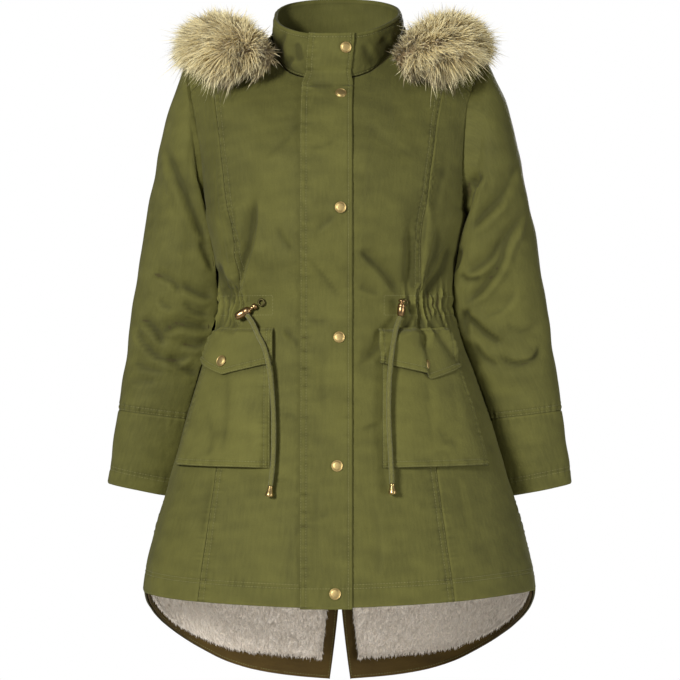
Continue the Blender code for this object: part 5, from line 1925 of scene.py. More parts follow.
@dataclass(frozen=True)
class Yokes:
    """The two halves of the yoke, over the shoulders from the front seam to the back seam."""

    step: float = 0.0032
    corner: float = 0.72
    last_angle: float = math.pi - 0.002
    length: float = 0.30
    width: float = 0.14

    CUT = Cut(0.240, 0.300)
    ROWS = ((BOTTOM, 0.0015), (BOTTOM, 0.0075), (TOP, 0.0015), (TOP, 0.0075))

    def neck_side(self, share: Array) -> Pair:
        """Across values and levels along the neckline and then down the centre back.

        Levels past the shoulder ridge run down the back.

        Args:
            share: shares of the way back.

        Returns:
            Across values, then levels.
        """
        turn = YOKE_NECK_ANGLE + (math.pi - YOKE_NECK_ANGLE) * share / self.corner
        angle = np.minimum(turn, self.last_angle)
        across, level = NECK.read(angle)
        front = angle < math.pi / 2
        least = [BODY.share_of_width(face, level, SEAM / 2, across) for face in Face]
        least = np.where(front, *least)
        around = np.maximum(across, least), np.where(front, level, 2 * UPPER_REACH - level)
        nape = NECK.read(np.array(self.last_angle))[1]
        low = nape + (YOKE_CENTRE_BACK_LEVEL + SEAM / 2 - nape) * (share - self.corner) / (1 - self.corner)
        down = centre_back(low), 2 * UPPER_REACH - low
        return tuple(np.where(share <= self.corner, a, d) for a, d in zip(around, down))

    def mesh(self, side: Side) -> Cloth:
        """The cloth of one half of the yoke.

        Args:
            side: the wearer's side.

        Returns:
            The cloth.
        """
        rise = spread(self.length, self.step, SEAM_LINES)[:, None]
        share = spread(self.width, self.step, SEAM_LINES)[None, :]
        u0, l0 = self.neck_side(rise[:, 0])
        l0[0] += SEAM / 2
        first = YOKE_EDGE_LEVEL[FRONT] + SEAM / 2
        last = 2 * UPPER_REACH - YOKE_EDGE_LEVEL[BACK] - SEAM / 2
        l1 = first + (last - first) * rise
        across = u0[:, None] + (1 - u0[:, None]) * share
        level = l0[:, None] + (l1 - l0[:, None]) * share
        over = (level > UPPER_REACH)[..., None]
        front = body_points(FRONT, side, across, np.minimum(level, UPPER_REACH))
        back = body_points(BACK, side, across, np.minimum(2 * UPPER_REACH - level, UPPER_REACH))
        points, normals = (np.where(over, b, f) for f, b in zip(front, back))
        return Cloth(points, normals, seams=tuple(Edge), rows=self.ROWS)

    def dress(self, dressing: "Dressing") -> None:
        """Makes both halves."""
        for side in Side:
            shell_piece(f"yoke_{side.word}", self.mesh(side), dressing)


# ---- the collar and the placket ----
COLLAR_CREASES = Crease.rows(
    (7, 30, 5, -60, -10, -57, -24, -54, -40),
    (6, 30, -5, 22, -62, 44, -61, 68, -56),
    (7, 22, 5, 30, -12, 40, -30, 52, -46),
    (6, 22, 5, -52, -58, -70, -52, -84, -40),
    (7, 20, 5, 60, 0, 70, -16, 78, -30),
    (7, 24, 5, -74, 6, -84, -16, -82, -40),
    (5, 22, 5, -64, -30, -72, -44, -66, -56),
)
# painted shade over the whole collar
COLLAR_PAINTED_SHADE = -0.28
# painted light: the pockets and flaps are painted lighter than the body
POCKET_PAINTED_LIGHT = 0.38
COLLAR_RIPPLES = Ripples(seed=11, height=0.0005, shortest=0.022, longest=0.060)


@dataclass
class Collar:
    """The standing collar, on the neckline."""

    thick: float = 0.0036
    start: float = 0.006
    gap_angle: float = 0.004
    narrow: float = 0.86
    offset_reach: float = 0.0885
    step: float = 0.0036
    top_x: float = 0.090
    top_front: float = 0.087
    top_back: float = 0.064
    top_z: float = 0.0320
    top_slope: float = 0.0330
    top_bow: float = 0.006
    round_length: float = 0.52
    flat_share: float = 0.25
    flat_angle: float = 0.30
    flat_soft: float = 0.25
    tall: float = 0.085
    lean: float = 0.004
    crease_gain: float = 1.5

    CUT = Cut(0.560, 0.090)
    ROWS = ((TOP, 0.0060), (BOTTOM, 0.0020))

    def __post_init__(self) -> None:
        """Finds the collar's foot all round."""
        foot = {side: self.foot_of(side) for side in Side}
        self.angles = np.concatenate([-NECK.angles[::-1], NECK.angles[1:]])
        self.foot = np.concatenate([foot[RIGHT][::-1], foot[LEFT][1:]])

    @staticmethod
    def foot_of(side: Side) -> Array:
        """The line on the body where one side of the collar begins.

        Args:
            side: the wearer's side.

        Returns:
            Points by the neckline's angles.
        """
        front = BODY.points(FRONT, side, NECK.across, NECK.level)
        back = BODY.points(BACK, side, NECK.across, NECK.level)
        return np.where(NECK.is_front[:, None], front, back)

    def points(self, angle: Array, height: Array) -> Pair:
        """Points and outward ways of the collar; the angle runs from -pi to pi, 0 at the centre front.

        Args:
            angle: angles.
            height: shares of the height.

        Returns:
            Points, then outward ways.
        """
        angle, height = np.broadcast_arrays(angle, height)
        base = along(self.foot, self.angles, angle)
        sine, cosine = np.sin(angle), np.cos(angle)
        reach = np.where(cosine < 0, self.top_back, self.top_front)
        rise = self.top_z - self.top_slope * cosine + self.top_bow * sine**2
        top = BODY.turned(np.stack([self.top_x * squared(sine), -reach * squared(cosine), rise], -1))
        out = np.stack([sine, -cosine, np.zeros_like(sine)], -1)
        lean = (self.lean * np.sin(math.pi * height))[..., None]
        return base + (top - base) * height[..., None] + out * lean, out

    def angle_of(self, offset: Array) -> Array:
        """The angle at a distance from the centre front."""
        share = (np.abs(offset) / self.offset_reach) ** (1 / NECK_POWER)
        return np.copysign(np.arcsin(share), offset)

    def mesh(self) -> Cloth:
        """The collar's cloth, open at the centre front under the placket.

        Returns:
            The cloth.
        """
        share = spread(self.round_length, self.step, NO_LINES)
        angle = self.gap_angle + 2 * (math.pi - self.gap_angle) * share
        angle = np.where(angle > math.pi, angle - 2 * math.pi, angle)
        height = self.start + (1 - self.start) * spread(self.tall, self.step, SEAM_LINES)
        points, out = self.points(angle[None, :], height[:, None])
        folds = self.crease_gain * smooth(-out[..., 1] * 3) * creased(COLLAR_CREASES, points)
        depth = folds[0] - COLLAR_RIPPLES.at(points)
        # painted shade over the collar, and the creases' painted shade and highlight
        tone = COLLAR_PAINTED_SHADE + folds[1]
        free = smooth((np.abs(angle) - self.flat_angle) / self.flat_soft)[None, :]
        free = smooth(height / self.flat_share)[:, None] * free
        points = points - out * (depth * free)[..., None]
        return Cloth(points, out, seams=(BOTTOM,), rows=self.ROWS, tone=tone)

    def dress(self, dressing: "Dressing") -> None:
        """Makes the collar."""
        shell_piece("collar", self.mesh(), dressing, self.thick, "shell")


PLACKET_CREASES = Crease.rows(
    (4, 12, 4, -44, -68, -24, -71, -6, -70),
    (4, 10, 4, -40, -92, -20, -94, 0, -92),
    (5, 12, 4, -44, -313, -16, -348, 4, -372),
    (5, 12, 4, -6, -256, -20, -266, -34, -279),
    (6, 9, 4, -4, -150, -22, -160, -44, -164),
    (5, 10, 4, -46, -395, -30, -400, -16, -398),
    (6, 8, 4, -12, -500, -28, -506, -46, -505),
    (6, 8, 4, -14, -660, -30, -668, -50, -668),
    (8, 6, 4, -20, -430, -24, -480, -22, -540),
    (8, 6, 4, -30, -610, -34, -670, -32, -730),
)


@dataclass(frozen=True)
class Placket:
    """The strip over the centre front, from the hem up over the collar."""

    collar: Collar
    step: float = 0.0036
    body_length: float = 0.74
    body_step: float = 1.4
    below_neck: float = 0.010
    collar_foot: float = 0.10
    collar_length: float = 0.074
    collar_share: float = 0.92
    tilt: float = 0.45
    foot_lay: float = 2.2
    collar_lay: float = 1.4
    pucker: float = 0.0012
    crease_gain: float = 1.5
    ripple_share: float = 0.5
    slack: float = 0.0002

    CUT = Cut(0.074, 0.830, rests_on=("front_left", "front_right", "collar"))
    ROWS = ((LAST, 0.0055), (FIRST, 0.0015), (FIRST, 0.0085), (TOP, 0.0055),
            (BOTTOM, 0.0280))
    COLLAR_LINES = (0.0, 0.0016, 0.0045, 0.0065)

    def body_rows(self, offsets: Array) -> tuple[Array, ...]:
        """Points and normals of the strip's rows over the body.

        Args:
            offsets: distances from the strip's middle.

        Returns:
            Points, then normals.
        """
        hem = level_of(BODY.hem_z[FRONT](0.0) - 0.001)
        neck = NECK.front_top(BODY.across_of_x(FRONT, NECK.level[0], np.abs(offsets)))
        neck = neck - self.below_neck
        rise = spread(self.body_length, self.step * self.body_step, SEAM_LINES)[:, None]
        level = hem + (neck - hem)[None, :] * rise
        across = BODY.across_of_x(FRONT, level, np.abs(offsets)[None, :])
        right, left = (body_points(FRONT, side, across, level, LAY + PLACKET_THICK) for side in Side)
        is_left = (offsets >= 0)[None, :, None]
        return tuple(np.where(is_left, a, b) for a, b in zip(left, right))

    def collar_rows(self, offsets: Array) -> tuple[Array, ...]:
        """Points and normals of the strip's rows over the collar.

        Args:
            offsets: distances from the strip's middle.

        Returns:
            Points, then normals.
        """
        angle = self.collar.angle_of(offsets * self.collar.narrow)
        foot, out = self.collar.points(angle[None, :], np.array([[self.collar_foot]]))
        tilted = unit(out + np.array([0.0, 0.0, self.tilt]))
        rise = spread(self.collar_length, self.step, self.COLLAR_LINES)[1:, None]
        upper, up_out = self.collar.points(angle[None, :], self.collar_foot + self.collar_share * rise)
        points = np.concatenate([foot + tilted * (self.foot_lay * LAY + PLACKET_THICK),
                                 upper + up_out * (self.collar_lay * LAY + PLACKET_THICK)])
        return points, np.concatenate([tilted, up_out])

    def mesh(self) -> Cloth:
        """The strip's cloth.

        Returns:
            The cloth.
        """
        offsets = PLACKET_HALF * (2 * spread(2 * PLACKET_HALF, self.step, SEAM_LINES) - 1)
        low, high = self.body_rows(offsets), self.collar_rows(offsets)
        points, normals = (np.concatenate(pair) for pair in zip(low, high))
        joint = len(low[0])
        bend = points[joint - 3 : joint + 3]
        points[joint - 2 : joint + 2] = (bend[:-2] + 2 * bend[1:-1] + bend[2:]) / 4
        folds = self.crease_gain * creased(PLACKET_CREASES, points)
        points = points - normals * (folds[0] - self.ripple_share * CLOTH_RIPPLES.at(points))[..., None]
        # tone: the creases' painted shade and highlight
        return Cloth(points, normals, seams=(FIRST,), rows=self.ROWS, pucker=self.pucker, tone=folds[1])

    def dress(self, dressing: "Dressing") -> None:
        """Makes the strip."""
        shell_piece("placket", self.mesh(), dressing, PLACKET_THICK - self.slack)


# ---- sleeves ----
# sections from the top down: the ends of the long axis (outer x, z, inner x, z), its y and half of its depth
SLEEVE = (
    (0.2155, -0.036, 0.187, -0.253, 0.001, 0.064), (0.2240, -0.054, 0.184, -0.259, 0.003, 0.068),
    (0.2375, -0.086, 0.176, -0.270, 0.006, 0.071), (0.2495, -0.130, 0.167, -0.288, 0.010, 0.072),
    (0.2615, -0.185, 0.158, -0.314, 0.016, 0.071), (0.2735, -0.245, 0.149, -0.346, 0.023, 0.069),
    (0.2862, -0.315, 0.144, -0.385, 0.031, 0.066), (0.2985, -0.390, 0.150, -0.432, 0.038, 0.061),
    (0.3090, -0.460, 0.172, -0.486, 0.045, 0.056), (0.3185, -0.526, 0.196, -0.541, 0.051, 0.052),
)
CUFF = (
    (0.3186, -0.5263, 0.1961, -0.5413, 0.051, 0.052), (0.3250, -0.564, 0.2095, -0.580, 0.055, 0.049),
    (0.3300, -0.598, 0.2225, -0.616, 0.059, 0.046), (0.3345, -0.632, 0.2350, -0.652, 0.064, 0.043),
)


SLEEVE_RIPPLES = Ripples(seed=23, height=0.0006, shortest=0.035, longest=0.110)


@dataclass(frozen=True)
class Sleeves:
    """The sleeves and their cuffs."""

    step: float = 0.0036
    around: int = 132
    square: float = 2.3
    clear: float = 0.0009
    shoulder_turn: float = 0.004
    tuck: float = 0.0042
    tuck_in: float = 1.5
    armhole_out: float = 0.0004
    underarm_room: float = 0.012
    front_from: float = 0.30
    front_soft: float = 0.9
    close_from: float = 0.1
    close_soft: float = 0.4
    close_z: float = -0.16
    close_fade: float = 0.06
    sleeve_length: float = 0.47
    cuff_length: float = 0.115
    gain: float = 1.6
    pucker: float = 0.0006

    SLEEVE_CUT = Cut(0.440, 0.520)
    CUFF_CUT = Cut(0.320, 0.130)
    SLEEVE_ROWS = ((BOTTOM, 0.0018), (BOTTOM, 0.0080))
    CUFF_ROWS = ((BOTTOM, 0.0210), (BOTTOM, 0.0260))
    LEAD = (0.0, 0.25, 0.6)

    def ring_points(self, side: Side, table: tuple, share: Array, steady: Array) -> Array:
        """Rings of points at shares of a table, from the top over the front to the underside and back.

        Args:
            side: the wearer's side.
            table: the sections.
            share: shares of the table.
            steady: how little of the body's turn each ring takes.

        Returns:
            Rings of points.
        """
        places = share * (len(table) - 1)
        table = [(k, *ring) for k, ring in enumerate(table)]
        read = [curve(places)[:, None] for curve in curves(table)]
        outer_x, outer_z, inner_x, inner_z, middle_y, depth = read
        angle = circle(self.around)[None, :]
        power = 2 / self.square
        along = np.copysign(np.abs(np.cos(angle)) ** power, np.cos(angle))
        fore = np.copysign(np.abs(np.sin(angle)) ** power, np.sin(angle))
        x = (outer_x + inner_x) / 2 + (outer_x - inner_x) / 2 * along
        z = (outer_z + inner_z) / 2 + (outer_z - inner_z) / 2 * along
        y = middle_y - depth * fore
        x = side.value * x - self.shoulder_turn * steady[:, None]
        least = self.body_side(side, y, z) + self.clear
        low = z < Z_UNDERARM + self.underarm_room
        x = np.where(low & (side.value * x < least), side.value * least, x)
        return np.stack([x, y, z], axis=-1)

    @staticmethod
    def body_side(side: Side, y: Array, z: Array) -> Array:
        """How far out the body's side is at some depths and heights below the underarm.

        Args:
            side: the wearer's side.
            y: places in Y.
            z: heights.

        Returns:
            Distances from the centre.
        """
        level = level_of(np.minimum(z, Z_UNDERARM))
        found = np.zeros_like(y)
        for face in Face:
            here = (y < 0) == (face is FRONT)
            room = np.abs(BODY.untwisted(face, np.zeros_like(level), level)[..., 1]) > np.abs(y)
            pick = here & room
            u = solve(lambda at: np.abs(y[pick]) - np.abs(BODY.untwisted(face, at, level[pick])[..., 1]),
                      np.zeros(pick.sum()), np.ones(pick.sum()))
            found[pick] = BODY.points(face, side, u, level[pick])[..., 0] * side.value
        return found

    def armhole_ring(self, side: Side) -> Array:
        """The armhole from the shoulder point over the front and back, a little outside it.

        Args:
            side: the wearer's side.

        Returns:
            A ring of points.
        """
        turn = 2 * np.arange(self.around) / self.around
        front = BODY.armhole_point(FRONT, np.clip(1 - turn, 0, 1))
        back = BODY.armhole_point(BACK, np.clip(turn - 1, 0, 1))
        points = np.where((turn <= 1)[:, None], front, back) * np.array([side.value, 1, 1])
        return BODY.turned(points) + np.array([side.value * self.armhole_out, 0, 0])

    def creased(self, side: Side, points: Array) -> tuple[Array, ...]:
        """Rings with their creases in them, their normals and the creases' painted shade and highlight.

        Args:
            side: the wearer's side.
            points: the rings.

        Returns:
            Points, normals and painted tones.
        """
        around = np.roll(points, -1, axis=1) - np.roll(points, 1, axis=1)
        normal = unit(np.cross(around, np.gradient(points, axis=0)))
        centre = points.mean(axis=1, keepdims=True)
        normal *= np.sign((normal * (points - centre)).sum())
        front = smooth((self.front_from - normal[..., 1]) / self.front_soft)
        other = Side.of(-side.value)
        folds = front * creased(SLEEVE_CREASES[side], points)
        folds = folds + (1 - front) * creased(SLEEVE_CREASES[other], points, -1)
        depth = self.gain * folds[0] - SLEEVE_RIPPLES.at(points)
        close = smooth((-side.value * normal[..., 0] - self.close_from) / self.close_soft)
        close = close * smooth((self.close_z - points[..., 2]) / self.close_fade)
        depth += close * (np.maximum(depth, 0.0) - depth)
        return points - normal * depth[..., None], normal, folds[1]

    def cloth(self, side: Side, rings: Array, seams: tuple[Edge, ...], rows: tuple, pucker: float) -> Cloth:
        """The creased cloth of some rings, from its lowest ring upwards.

        Args:
            side: the wearer's side.
            rings: the rings from the top down.
            seams: edges with a seam.
            rows: stitched rows.
            pucker: how deep its puckers are.

        Returns:
            The cloth.
        """
        points, normals, tone = (part[::-1] for part in self.creased(side, rings))
        return Cloth(points, normals, True, seams, rows, pucker, tone)

    def mesh(self, side: Side) -> tuple[Cloth, Cloth]:
        """The cloth of a sleeve and of its cuff.

        Args:
            side: the wearer's side.

        Returns:
            The sleeve, then the cuff.
        """
        share = spread(self.sleeve_length, self.step, SEAM_LINES)
        rings = self.ring_points(side, SLEEVE, share, (1 - share) ** 2)
        head = self.armhole_ring(side)
        lead = np.array(self.LEAD)[:, None, None]
        inward = head.mean(axis=0) - head
        inward *= self.tuck / np.linalg.norm(inward, axis=1, keepdims=True)
        tucked = head + inward - np.array([side.value * self.tuck_in * self.tuck, 0, 0])
        rings = np.concatenate([tucked[None], head + (rings[0] - head) * lead, rings])
        sleeve = self.cloth(side, rings, ENDS, self.SLEEVE_ROWS, self.pucker)
        share = spread(self.cuff_length, self.step, SEAM_LINES)
        rings = self.ring_points(side, CUFF, share, np.zeros_like(share))
        return sleeve, self.cloth(side, rings, (TOP,), self.CUFF_ROWS, Cloth.pucker)

    def dress(self, dressing: "Dressing") -> None:
        """Makes the sleeves and the cuffs.

        Args:
            dressing: the finishes and the stitching.
        """
        for side in Side:
            sleeve, cuff = self.mesh(side)
            shell_piece(f"sleeve_{side.word}", sleeve, dressing)
            shell_piece(f"cuff_{side.word}", cuff, dressing)


# ---- pockets and flaps ----
POCKET_CREASES = Crease.rows(
    (16, 20, 6, -156, -462, -157, -520, -163, -590),
    (9, 12, 4, -186, -520, -178, -552, -182, -590),
    (7, 10, 4, -168, -545, -174, -568, -186, -588),
    (12, 7, 4, -118, -500, -126, -545, -122, -585),
    (12, 16, 5, 118, -470, 121, -520, 126, -580),
    (7, 14, -5, 132, -545, 142, -556, 152, -552),
    (7, 16, -5, 140, -570, 152, -565, 164, -574),
    (6, 12, 5, 126, -588, 140, -580, 156, -588),
    (10, 12, 5, 152, -480, 158, -520, 162, -550),
)


@dataclass(frozen=True)
class Pockets:
    """The patch pockets with their pointed flaps."""

    width: float = 0.118
    length: float = 0.183
    flap_width: float = 0.125
    flap_length: float = 0.060
    inner_x: float = 0.0765
    outer_across: float = 0.745
    top_z: float = -0.418
    bottom_z: float = -0.601
    thick: float = 0.0026
    clear: float = 0.0006
    belly: float = 0.0040
    belly_steep: float = 5
    belly_from: float = 0.1
    belly_rise: float = 1.6
    fold: float = 0.0018
    flap_inner_x: float = 0.0720
    flap_outer_across: float = 0.765
    flap_top_z: float = -0.409
    flap_side_drop: float = 0.050
    flap_point_drop: float = 0.067
    flap_lift: float = 0.0084
    # the painted shadow under the flap: where it lies, how much lower it lies at the middle, how wide and how
    # dark
    shade_at: float = 0.225
    shade_point: float = 0.085
    shade_half: float = 0.035
    shade: float = 0.8
    pleat: float = 0.46
    pleat_drop: float = 0.0065
    pleat_lift: float = 0.0030
    pleat_half: float = 0.22
    pleat_soft: float = 0.03
    pleat_sink: float = 0.4
    pleated_outer: float = 0.735
    top_lift: float = 0.0018
    flap_rise: float = 0.16
    wave: float = 0.0012
    wave_turn: float = 9.0
    wave_start: float = 0.6
    step: float = 0.0038

    POCKET_CUT = Cut(0.130, 0.200)
    FLAP_CUT = Cut(0.138, 0.078)
    ROWS = tuple((edge, metres) for edge in (*UPRIGHT, BOTTOM) for metres in (0.0016, 0.0080))
    FLAP_ROWS = (*ROWS, (TOP, 0.0030))

    @staticmethod
    def lay(side: Side, share: Array, z: Array, inner_x: float, outer_across: float,
            out: Array) -> Pair:
        """Lays a grid over the front.

        Args:
            side: the wearer's side.
            share: shares of its width.
            z: its heights.
            inner_x: its inner edge's distance from the centre.
            outer_across: its outer edge's across value.
            out: how far it stands off the body.

        Returns:
            Points and normals.
        """
        level = level_of(z)
        first = BODY.across_of_x(FRONT, level, np.full_like(level, inner_x))
        return body_points(FRONT, side, first + (outer_across - first) * share, level, out)

    def pocket(self, side: Side) -> Cloth:
        """The pocket's cloth: low at its sides and top, folded at its bottom, painted lighter, with a painted
        shadow under the flap.

        Args:
            side: the wearer's side.

        Returns:
            The cloth.
        """
        c = spread(self.width, self.step, SEAM_LINES)[None, :]
        r = spread(self.length, self.step, SEAM_LINES)[::-1][:, None]
        edge = np.minimum(c, 1 - c) * self.belly_steep
        full = self.belly * smooth(edge) * smooth((r - self.belly_from) * self.belly_rise)
        out = LAY + self.clear + self.thick + full
        out = out + self.fold * smooth(r * 3 - 2) * smooth(edge * 2)
        c, z = np.broadcast_arrays(c, self.top_z + (self.bottom_z - self.top_z) * r)
        points, normals = self.lay(side, c, z, self.inner_x, self.outer_across, out)
        # painted shadow under the flap on the pocket painted lighter, then the creases' painted shade and
        # highlight
        shade = bump(r - self.shade_at - self.shade_point * (1 - np.abs(2 * c - 1)), self.shade_half)
        tone = POCKET_PAINTED_LIGHT - self.shade * shade * np.ones_like(z)
        for crease in POCKET_CREASES:
            depth, dark = crease.read(points[..., 0], points[..., 2])
            points = points - normals * depth[..., None]
            tone = tone + dark
        return Cloth(points, normals, seams=(*UPRIGHT, BOTTOM), rows=self.ROWS, tone=tone)

    def flap(self, side: Side) -> Cloth:
        """The flap's cloth: level sides, then the point at its middle.

        Args:
            side: the wearer's side.

        Returns:
            The cloth.
        """
        c = spread(self.flap_width, self.step, SEAM_LINES)[None, :]
        r = spread(self.flap_length, self.step, SEAM_LINES)[::-1][:, None]
        drop = self.flap_side_drop + (self.flap_point_drop - self.flap_side_drop) * (1 - np.abs(2 * c - 1))
        rise = smooth(r / self.flap_rise)
        lift = self.top_lift + (self.flap_lift - self.top_lift) * rise
        lift = lift + self.wave * np.sin(c * self.wave_turn + self.wave_start) * r * (1 - r)
        outer = self.flap_outer_across
        if side is LEFT:
            past = smooth((c - self.pleat) / self.pleat_soft)
            drop = drop + self.pleat_drop * past
            raised = bump(c - self.pleat, self.pleat_half) * (1 - past)
            lift = lift + self.pleat_lift * (raised - self.pleat_sink * past * rise)
            outer = self.pleated_outer
        c, z = np.broadcast_arrays(c, self.flap_top_z - drop * r)
        points, normals = self.lay(side, c, z, self.flap_inner_x, outer, lift + WALL)
        # the flap is painted lighter, like the pocket
        return Cloth(points, normals, seams=(TOP,), rows=self.FLAP_ROWS, tone=POCKET_PAINTED_LIGHT)

    def dress(self, dressing: "Dressing") -> None:
        """Makes the pockets and the flaps.

        Args:
            dressing: the finishes and the stitching.
        """
        for side in Side:
            pocket, flap = self.pocket(side), self.flap(side)
            shell_piece(f"pocket_{side.word}", pocket, dressing, self.thick, "shell")
            shell_piece(f"flap_{side.word}", flap, dressing, WALL, "shell")


# ---- the fishtail's lining and facing ----
@dataclass(frozen=True)
class Lining:
    """The fleece lining, its pile and the twill facing around it."""

    out: float = -0.0025 - 0.0018
    thick: float = 0.0030
    facing_thick: float = 0.0013
    facing_width: float = 0.017
    facing_cut: float = 0.030
    facing_step: float = 0.0040
    along_hem: int = 76
    up_split: int = 26
    low_z: float = -0.900
    tip_z: float = -0.925
    split_gap: float = 0.0008
    hem_gap: float = 0.0006
    last_across: float = 0.985
    first_up: float = 0.03
    foot_across: float = 0.02
    over_split: float = 0.02
    side_slack: float = 0.001
    hem_slack: float = 0.0012
    top_z: float = -0.560
    side_gap: float = 0.012
    step: float = 0.0060
    tuft_length: float = 0.0056
    tuft_width: float = 0.0014
    tufts: int = 18000
    low_share: float = 0.60
    low_part: float = 0.33
    curl: float = 0.24
    stand: float = 0.50
    hang: float = 0.90
    droop: float = 0.5
    first_seed: int = 31

    DEEP = np.array((0.80, 0.73, 0.64))
    TIP = np.array((0.88, 0.81, 0.71))
    ROWS = ((LAST, 0.0018), (FIRST, 0.0045))

    BACKS = ("back_left", "back_right")
    LINING_CUT = Cut(0.300, 0.370, "hung", BACKS)
    FACING_CUT = Cut(0.060, 0.400, "hung", BACKS)

    def lining(self, side: Side) -> Cloth:
        """The fleece's backing, seen from inside the garment.

        Args:
            side: the wearer's side.

        Returns:
            The cloth.
        """
        hem = BODY.hem_z[BACK]
        strip = self.facing_width + self.side_slack
        bounds = Bounds(
            lambda v: beyond(BACK, v, np.zeros_like(v), split_half(Z_UNDERARM + v) + strip),
            lambda v: inside(BACK, v, np.ones_like(v), self.side_gap),
            lambda u: level_of(hem(u) + BODY.facing_rise(u) + self.hem_slack),
            lambda u: np.full_like(u, level_of(self.top_z)))
        across, level = bounds.spread(BACK, self.step, NO_LINES)
        points, normals = body_points(BACK, side, across, level, self.out)
        return Cloth(points, normals)

    def facing(self, side: Side) -> Cloth:
        """The strip along the hem from the side to the split and then up beside the split.

        Args:
            side: the wearer's side.

        Returns:
            The cloth.
        """
        hem = BODY.hem_z[BACK]
        wide = spread(self.facing_cut, self.facing_step, NO_LINES)[None, :]
        along = np.linspace(1, 0, self.along_hem)[:, None]
        low_level = level_of(self.low_z)
        zero = np.array([[0.0]])
        near = BODY.share_of_width(BACK, low_level, split_half(self.tip_z) + self.split_gap, zero)
        far = BODY.share_of_width(BACK, low_level, split_half(self.low_z) + self.facing_width, zero)
        first = near + (far - near) * wide
        across = first + (self.last_across - first) * along
        z = hem(across) + self.hem_gap + (BODY.facing_rise(across) - SEAM - self.hem_gap) * wide
        up = np.linspace(self.first_up, 1, self.up_split)[:, None]
        foot = hem(self.foot_across) + BODY.facing_rise(0.0) * wide
        split_z = foot + (SPLIT_TOP_Z + self.over_split - foot) * up
        reach = split_half(split_z) + self.split_gap + (self.facing_width - self.split_gap) * wide
        split_across = BODY.share_of_width(BACK, level_of(split_z), reach, np.zeros_like(split_z))
        across, z = np.concatenate([across, split_across]), np.concatenate([z, split_z])
        points, normals = body_points(BACK, side, across, level_of(z), self.out)
        return Cloth(points, normals, rows=self.ROWS)

    def pile(self, side: Side, cloth: Cloth) -> Mesh:
        """The fleece's pile, inwards from its backing and closer together where it shows.

        Args:
            side: the wearer's side.
            cloth: the backing.

        Returns:
            The pile's mesh.
        """
        draw = np.random.default_rng(self.first_seed + side.value)
        rows, columns = cloth.points.shape[:2]
        j = draw.uniform(0, rows - 1.001, self.tufts)
        low = draw.random(self.tufts) < self.low_share
        j = np.where(low, draw.uniform(0, self.low_part * rows, self.tufts), j)
        i = draw.uniform(0, columns - 1.001, self.tufts)
        roots = grid_read(cloth.points - cloth.normals * self.thick, j, i)
        curl = draw.normal(size=(self.tufts, 3)) * self.curl
        ways = unit(curl - self.stand * grid_read(cloth.normals, j, i) + np.array([0, 0, -self.hang]))
        lengths = self.tuft_length * draw.uniform(0.55, 1.25, self.tufts)
        scale = (0.94 + 0.10 * draw.uniform(0.0, 1.0, self.tufts))[:, None, None]
        colours = np.stack([self.DEEP, (self.DEEP + self.TIP) / 2, self.TIP]) * scale
        return strands_mesh(f"pile_{side.word}", roots, ways, lengths, self.tuft_width, colours, self.droop,
                            self.first_seed + side.value)

    def dress(self, dressing: "Dressing") -> None:
        """Makes the linings with their pile, and the facings.

        Args:
            dressing: the finishes and the stitching.
        """
        finishes = dressing.finishes
        for side in Side:
            cloth = self.lining(side)
            pile = link(f"lining_{side.word}_pile", self.pile(side, cloth), [finishes.fleece])
            finish_piece(pile, "fleece")
            made = link(f"lining_{side.word}_cloth", cloth_mesh("lining", cloth, self.thick),
                        [finishes.fleece_back] * 2)
            finish_piece(made, "fleece", f"lining_{side.word}")
            cloth = self.facing(side)
            made = link(f"facing_{side.word}_cloth", cloth_mesh("facing", cloth, self.facing_thick),
                        [finishes.facing] * 2)
            finish_piece(made, "facing", f"facing_{side.word}")
            inward = Cloth(cloth.points - cloth.normals * self.facing_thick, -cloth.normals)
            for edge, metres in cloth.rows:
                dressing.threads.follow(*inward.beside(edge, metres))


def grid_read(values: Array, j: Array, i: Array) -> Array:
    """Values of a grid between its points.

    Args:
        values: a grid of rows.
        j: places along its columns.
        i: places along its rows.

    Returns:
        The values there.
    """
    a, b = j.astype(int), i.astype(int)
    s, t = (j - a)[:, None], (i - b)[:, None]
    low = values[a, b] * (1 - t) + values[a, b + 1] * t
    high = values[a + 1, b] * (1 - t) + values[a + 1, b + 1] * t
    return low * (1 - s) + high * s


# ---- strands ----
STRAND_SHARES = np.array((0.0, 0.55, 1.0))
STRAND_SWAY, STRAND_SINK, STRAND_TAPER = 0.30, 0.55, 0.9


